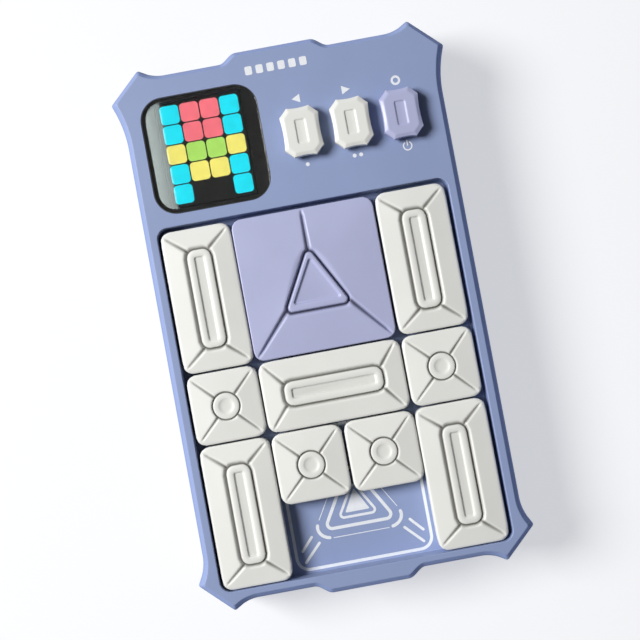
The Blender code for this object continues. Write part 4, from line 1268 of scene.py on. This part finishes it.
def goal_print(material):
    """White lines on the tray floor that show where the large tile has to go."""
    low = TRAY_FLOOR + LIFT
    maker = bmesh.new()
    slab(maker, rounded(triangle(3.46 * MM, -55.65 * MM, -49.3 * MM), 0.25 * MM, 3), low)
    for half_base, base_y, apex_y, width, radius in GOAL_TRIANGLES:
        ribbon(maker, rounded(triangle(half_base, base_y, apex_y), radius, 6), width, low, closed=True)
    ribbon(maker, [(-7.8 * MM, -61.85 * MM), (7.8 * MM, -61.85 * MM)], THIN_LINE, low)
    for side in (-1, 1):
        def point(x, y):
            return (side * x * MM, y * MM)
        ribbon(maker, [point(11.0, -56.35), point(3.2, -43.3)], THIN_LINE, low)
        arc = [point(8.15 + 3.65 * math.cos(angle), -58.6 + 3.1 * math.sin(angle))
               for angle in [math.radians(14 - 11.5 * step) for step in range(9)]]
        ribbon(maker, arc, 0.9 * MM, low)
        for start, end in (((13.85, -60.6), (17.0, -64.05)), ((12.0, -62.55), (16.6, -67.25))):
            ribbon(maker, [point(*start), point(*end)], 0.75 * MM, low)
    frame = rounded(rectangle(37.9 * MM, 38.2 * MM, 0.0, -50.2 * MM), 3.4 * MM, 10)
    ribbon(maker, frame, 0.85 * MM, low, closed=True)
    bmesh.ops.translate(maker, vec=(-0.1 * MM, 0.3 * MM, 0.0), verts=maker.verts[:])
    finish_piece(new_object("goal_print", maker), "case", "case_plastic", material)


def case_print(material):
    """Marks beside the buttons, and a plain row of squares between the screen and the end."""
    low = FACE_Z + LIFT
    maker = bmesh.new()
    first, second, third = MARK_X
    for x, heading in ((first, -1), (second, 1)):
        back, half = x - heading * 1.15 * MM, heading * 1.2 * MM
        tip = (x + heading * 1.15 * MM, MARK_HIGH)
        slab(maker, [(back, MARK_HIGH - half), tip, (back, MARK_HIGH + half)], low)
    ribbon(maker, circle(1.02 * MM, third, MARK_HIGH, 32), 0.62 * MM, low, closed=True)
    for x in (first, second - 0.9 * MM, second + 0.9 * MM):
        slab(maker, circle(0.55 * MM, x, MARK_LOW, 24), low)
    arc = [polar(POWER_RADIUS, math.radians(55 - 290 * step / 24), third, MARK_LOW) for step in range(25)]
    ribbon(maker, arc, 0.36 * MM, low)
    ribbon(maker, [(third, MARK_LOW + 1.45 * MM), (third, MARK_LOW + 0.2 * MM)], 0.36 * MM, low)
    for place in range(6):
        square = rectangle(2.0 * MM, 2.4 * MM, ROW_START + ROW_PITCH * place, ROW_Y)
        slab(maker, rounded(square, 0.45 * MM, 4), low)
    finish_piece(new_object("case_print", maker), "case", "case_plastic", material)


# ---------------------------------------------------------------- stage

def glowing(name, colour):
    """A black material that only gives off light."""
    glow = Shader(name)
    glow.set(Base_Color=(0.0, 0.0, 0.0, 1.0), Emission_Color=(*colour, 1.0))
    return glow


def table():
    """A pale floor that glows like a light table."""
    bpy.ops.mesh.primitive_plane_add(size=FLOOR_SIZE, location=(0.0, 0.0, -0.02 * MM))
    floor = bpy.context.object
    floor.name = "floor"
    shader = Shader("floor")
    shader.feed(Base_Color=shader.ramp(shader.noise(3.0, 2.0), [(0.3, (0.38,) * 3), (0.7, (0.40,) * 3)]))
    shader.set(Roughness=0.9, Emission_Color=(0.93, 0.95, 1.0, 1.0), Emission_Strength=0.62)
    floor.data.materials.append(shader.material)
    floor.visible_diffuse = False
    floor.visible_glossy = False


def bounce_light():
    """A wide sheet with a hole under the object, which gives cool light from below and stays out of sight."""
    maker = bmesh.new()
    inner, outer = [[maker.verts.new(point) for point in level(rectangle(*size), BOUNCE_Z)]
                    for size in (BOUNCE_HOLE, BOUNCE_SIZE)]
    for corner in range(4):
        maker.faces.new((inner[corner - 1], outer[corner - 1], outer[corner], inner[corner]))
    bounce = new_object("bounce", maker)
    glow = glowing("bounce", (0.47, 0.60, 1.0))
    glow.set(Emission_Strength=BOUNCE_LEVEL)
    glow.material.cycles.emission_sampling = "NONE"
    bounce.data.materials.append(glow.material)
    bounce.visible_camera = False
    bounce.visible_shadow = False


def reflector_card():
    """A card that only shows as a pale strip in the lens, fading across its width."""
    maker = bmesh.new()
    width, depth = CARD_X[1] - CARD_X[0], CARD_Y[1] - CARD_Y[0]
    sheet = rectangle(width, depth, CARD_X[0] + width / 2, CARD_Y[0] + depth / 2)
    maker.faces.new([maker.verts.new(point) for point in level(sheet, CARD_Z)])
    card = new_object("card", maker)
    glow = glowing("card", (0.87, 1.0, 0.97))
    across = glow.node("ShaderNodeSeparateXYZ")
    glow.link(glow.tree.nodes["Texture Coordinate"].outputs["Generated"], across.inputs["Vector"])
    far_level, near_level = CARD_LEVELS
    fade = glow.node("ShaderNodeMapRange", From_Min=0.45, To_Min=far_level, To_Max=near_level)
    glow.link(across.outputs["X"], fade.inputs["Value"])
    glow.feed(Emission_Strength=fade.outputs["Result"])
    card.data.materials.append(glow.material)
    card.visible_diffuse = False
    card.visible_camera = False
    card.visible_shadow = False


def stage():
    """Pale floor, one large soft key light from the left, an even fill and two hidden sheets of light."""
    scene = bpy.context.scene
    table()
    bounce_light()
    key = bpy.data.lights.new("key", "AREA")
    key.shape = "DISK"
    key.size = KEY_SIZE
    key.energy = KEY_POWER
    key.color = (1.0, 0.985, 0.965)
    lamp = bpy.data.objects.new("key", key)
    lamp.location = KEY_AT
    lamp.rotation_euler = (-Vector(KEY_AT)).to_track_quat("-Z", "Y").to_euler()
    scene.collection.objects.link(lamp)
    reflector_card()

    world = bpy.data.worlds.new("studio")
    world.use_nodes = True
    world.node_tree.nodes["Background"].inputs["Color"].default_value = (1.0, 0.985, 0.96, 1.0)
    world.node_tree.nodes["Background"].inputs["Strength"].default_value = FILL_LEVEL
    scene.world = world

    camera = bpy.data.cameras.new("camera")
    camera.lens = CAMERA_LENS
    camera.sensor_width = 36.0
    camera.clip_start = 0.01
    seen = bpy.data.objects.new("camera", camera)
    seen.location = CAMERA_AT
    seen.rotation_euler = CAMERA_TURN
    scene.collection.objects.link(seen)
    scene.camera = seen
    scene.view_settings.view_transform = "Standard"


def paint_frame(frame, finishes):
    """Materials for the CAD nodes that stay, by the start of their names."""
    for name, node in frame["nodes"].items():
        for start, material in finishes:
            if name.startswith(start) or name.endswith(start):
                node.data.materials.clear()
                node.data.materials.append(material)
                break


def main():
    for item in list(bpy.data.objects):
        bpy.data.objects.remove(item, do_unlink=True)
    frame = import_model()
    white = plastic("white plastic", WHITE, 0.42, relief=WHITE_GROOVE_SHADE)
    lilac = plastic("lilac plastic", LILAC, 0.38, relief=LILAC_GROOVE_SHADE)
    blue = plastic("case plastic", BLUE, 0.45, grain=0.7)
    blue_back = plastic("back plastic", tint(BLUE, 0.97), 0.52, grain=0.9)
    steel = metal("plated steel", (0.60, 0.60, 0.61), 0.30)
    foot = rubber("rubber")
    printed = ink("white ink")
    film = black_film("black film", GRID_GREY)

    tile_caps(white, lilac)
    for name, x in BUTTONS:
        is_power = name == "button_power"
        button_cap(name, x, lilac if is_power else white, "lilac_plastic" if is_power else "white_plastic")
    front_housing(blue)
    back_cover(blue_back)
    battery_door(blue_back)
    screen(smoked_lens("smoked lens"), black_film("screen border", SCREEN_GREY),
           black_film("screen film", SCREEN_GREY))
    goal_print(printed)
    case_print(printed)
    for count, (x, y) in enumerate(mirrored(SCREW_AT), 1):
        screw(f"case_screw_{count}_fixing", "case", (x, y, SCREW_HEAD_Z), SCREW_HEAD, SCREW_SHANK, steel)
    screw("battery_door_screw_fixing", "battery_door",
          (DOOR_SCREW_X, BAY_Y, BACK_Z + 0.1 * MM), (SCREW_HEAD[0], 0.9 * MM), (1.0 * MM, 5.4 * MM), steel)
    for count, (x, y) in enumerate(foot_spots(), 1):
        rubber_foot(count, x, y, foot)
    paint_frame(frame, (
        ("_magnet", metal("nickel", (0.66, 0.65, 0.62), 0.22)),
        ("_base", plastic("base plastic", tint(WHITE, 0.92), 0.55)),
        ("steel_keeper", metal("brushed steel", (0.56, 0.56, 0.57), 0.36, (1.0, 0.05, 1.0))),
        ("main_board", circuit_board("circuit board")),
        ("sensor_board", circuit_board("sensor circuit board")),
        ("battery_contact", steel),
        ("battery_bridge", steel),
        ("battery_", battery_skin("battery sleeve")),
        ("speaker", rubber("speaker cone")),
        ("light_grid", film),
    ))
    stage()


main()
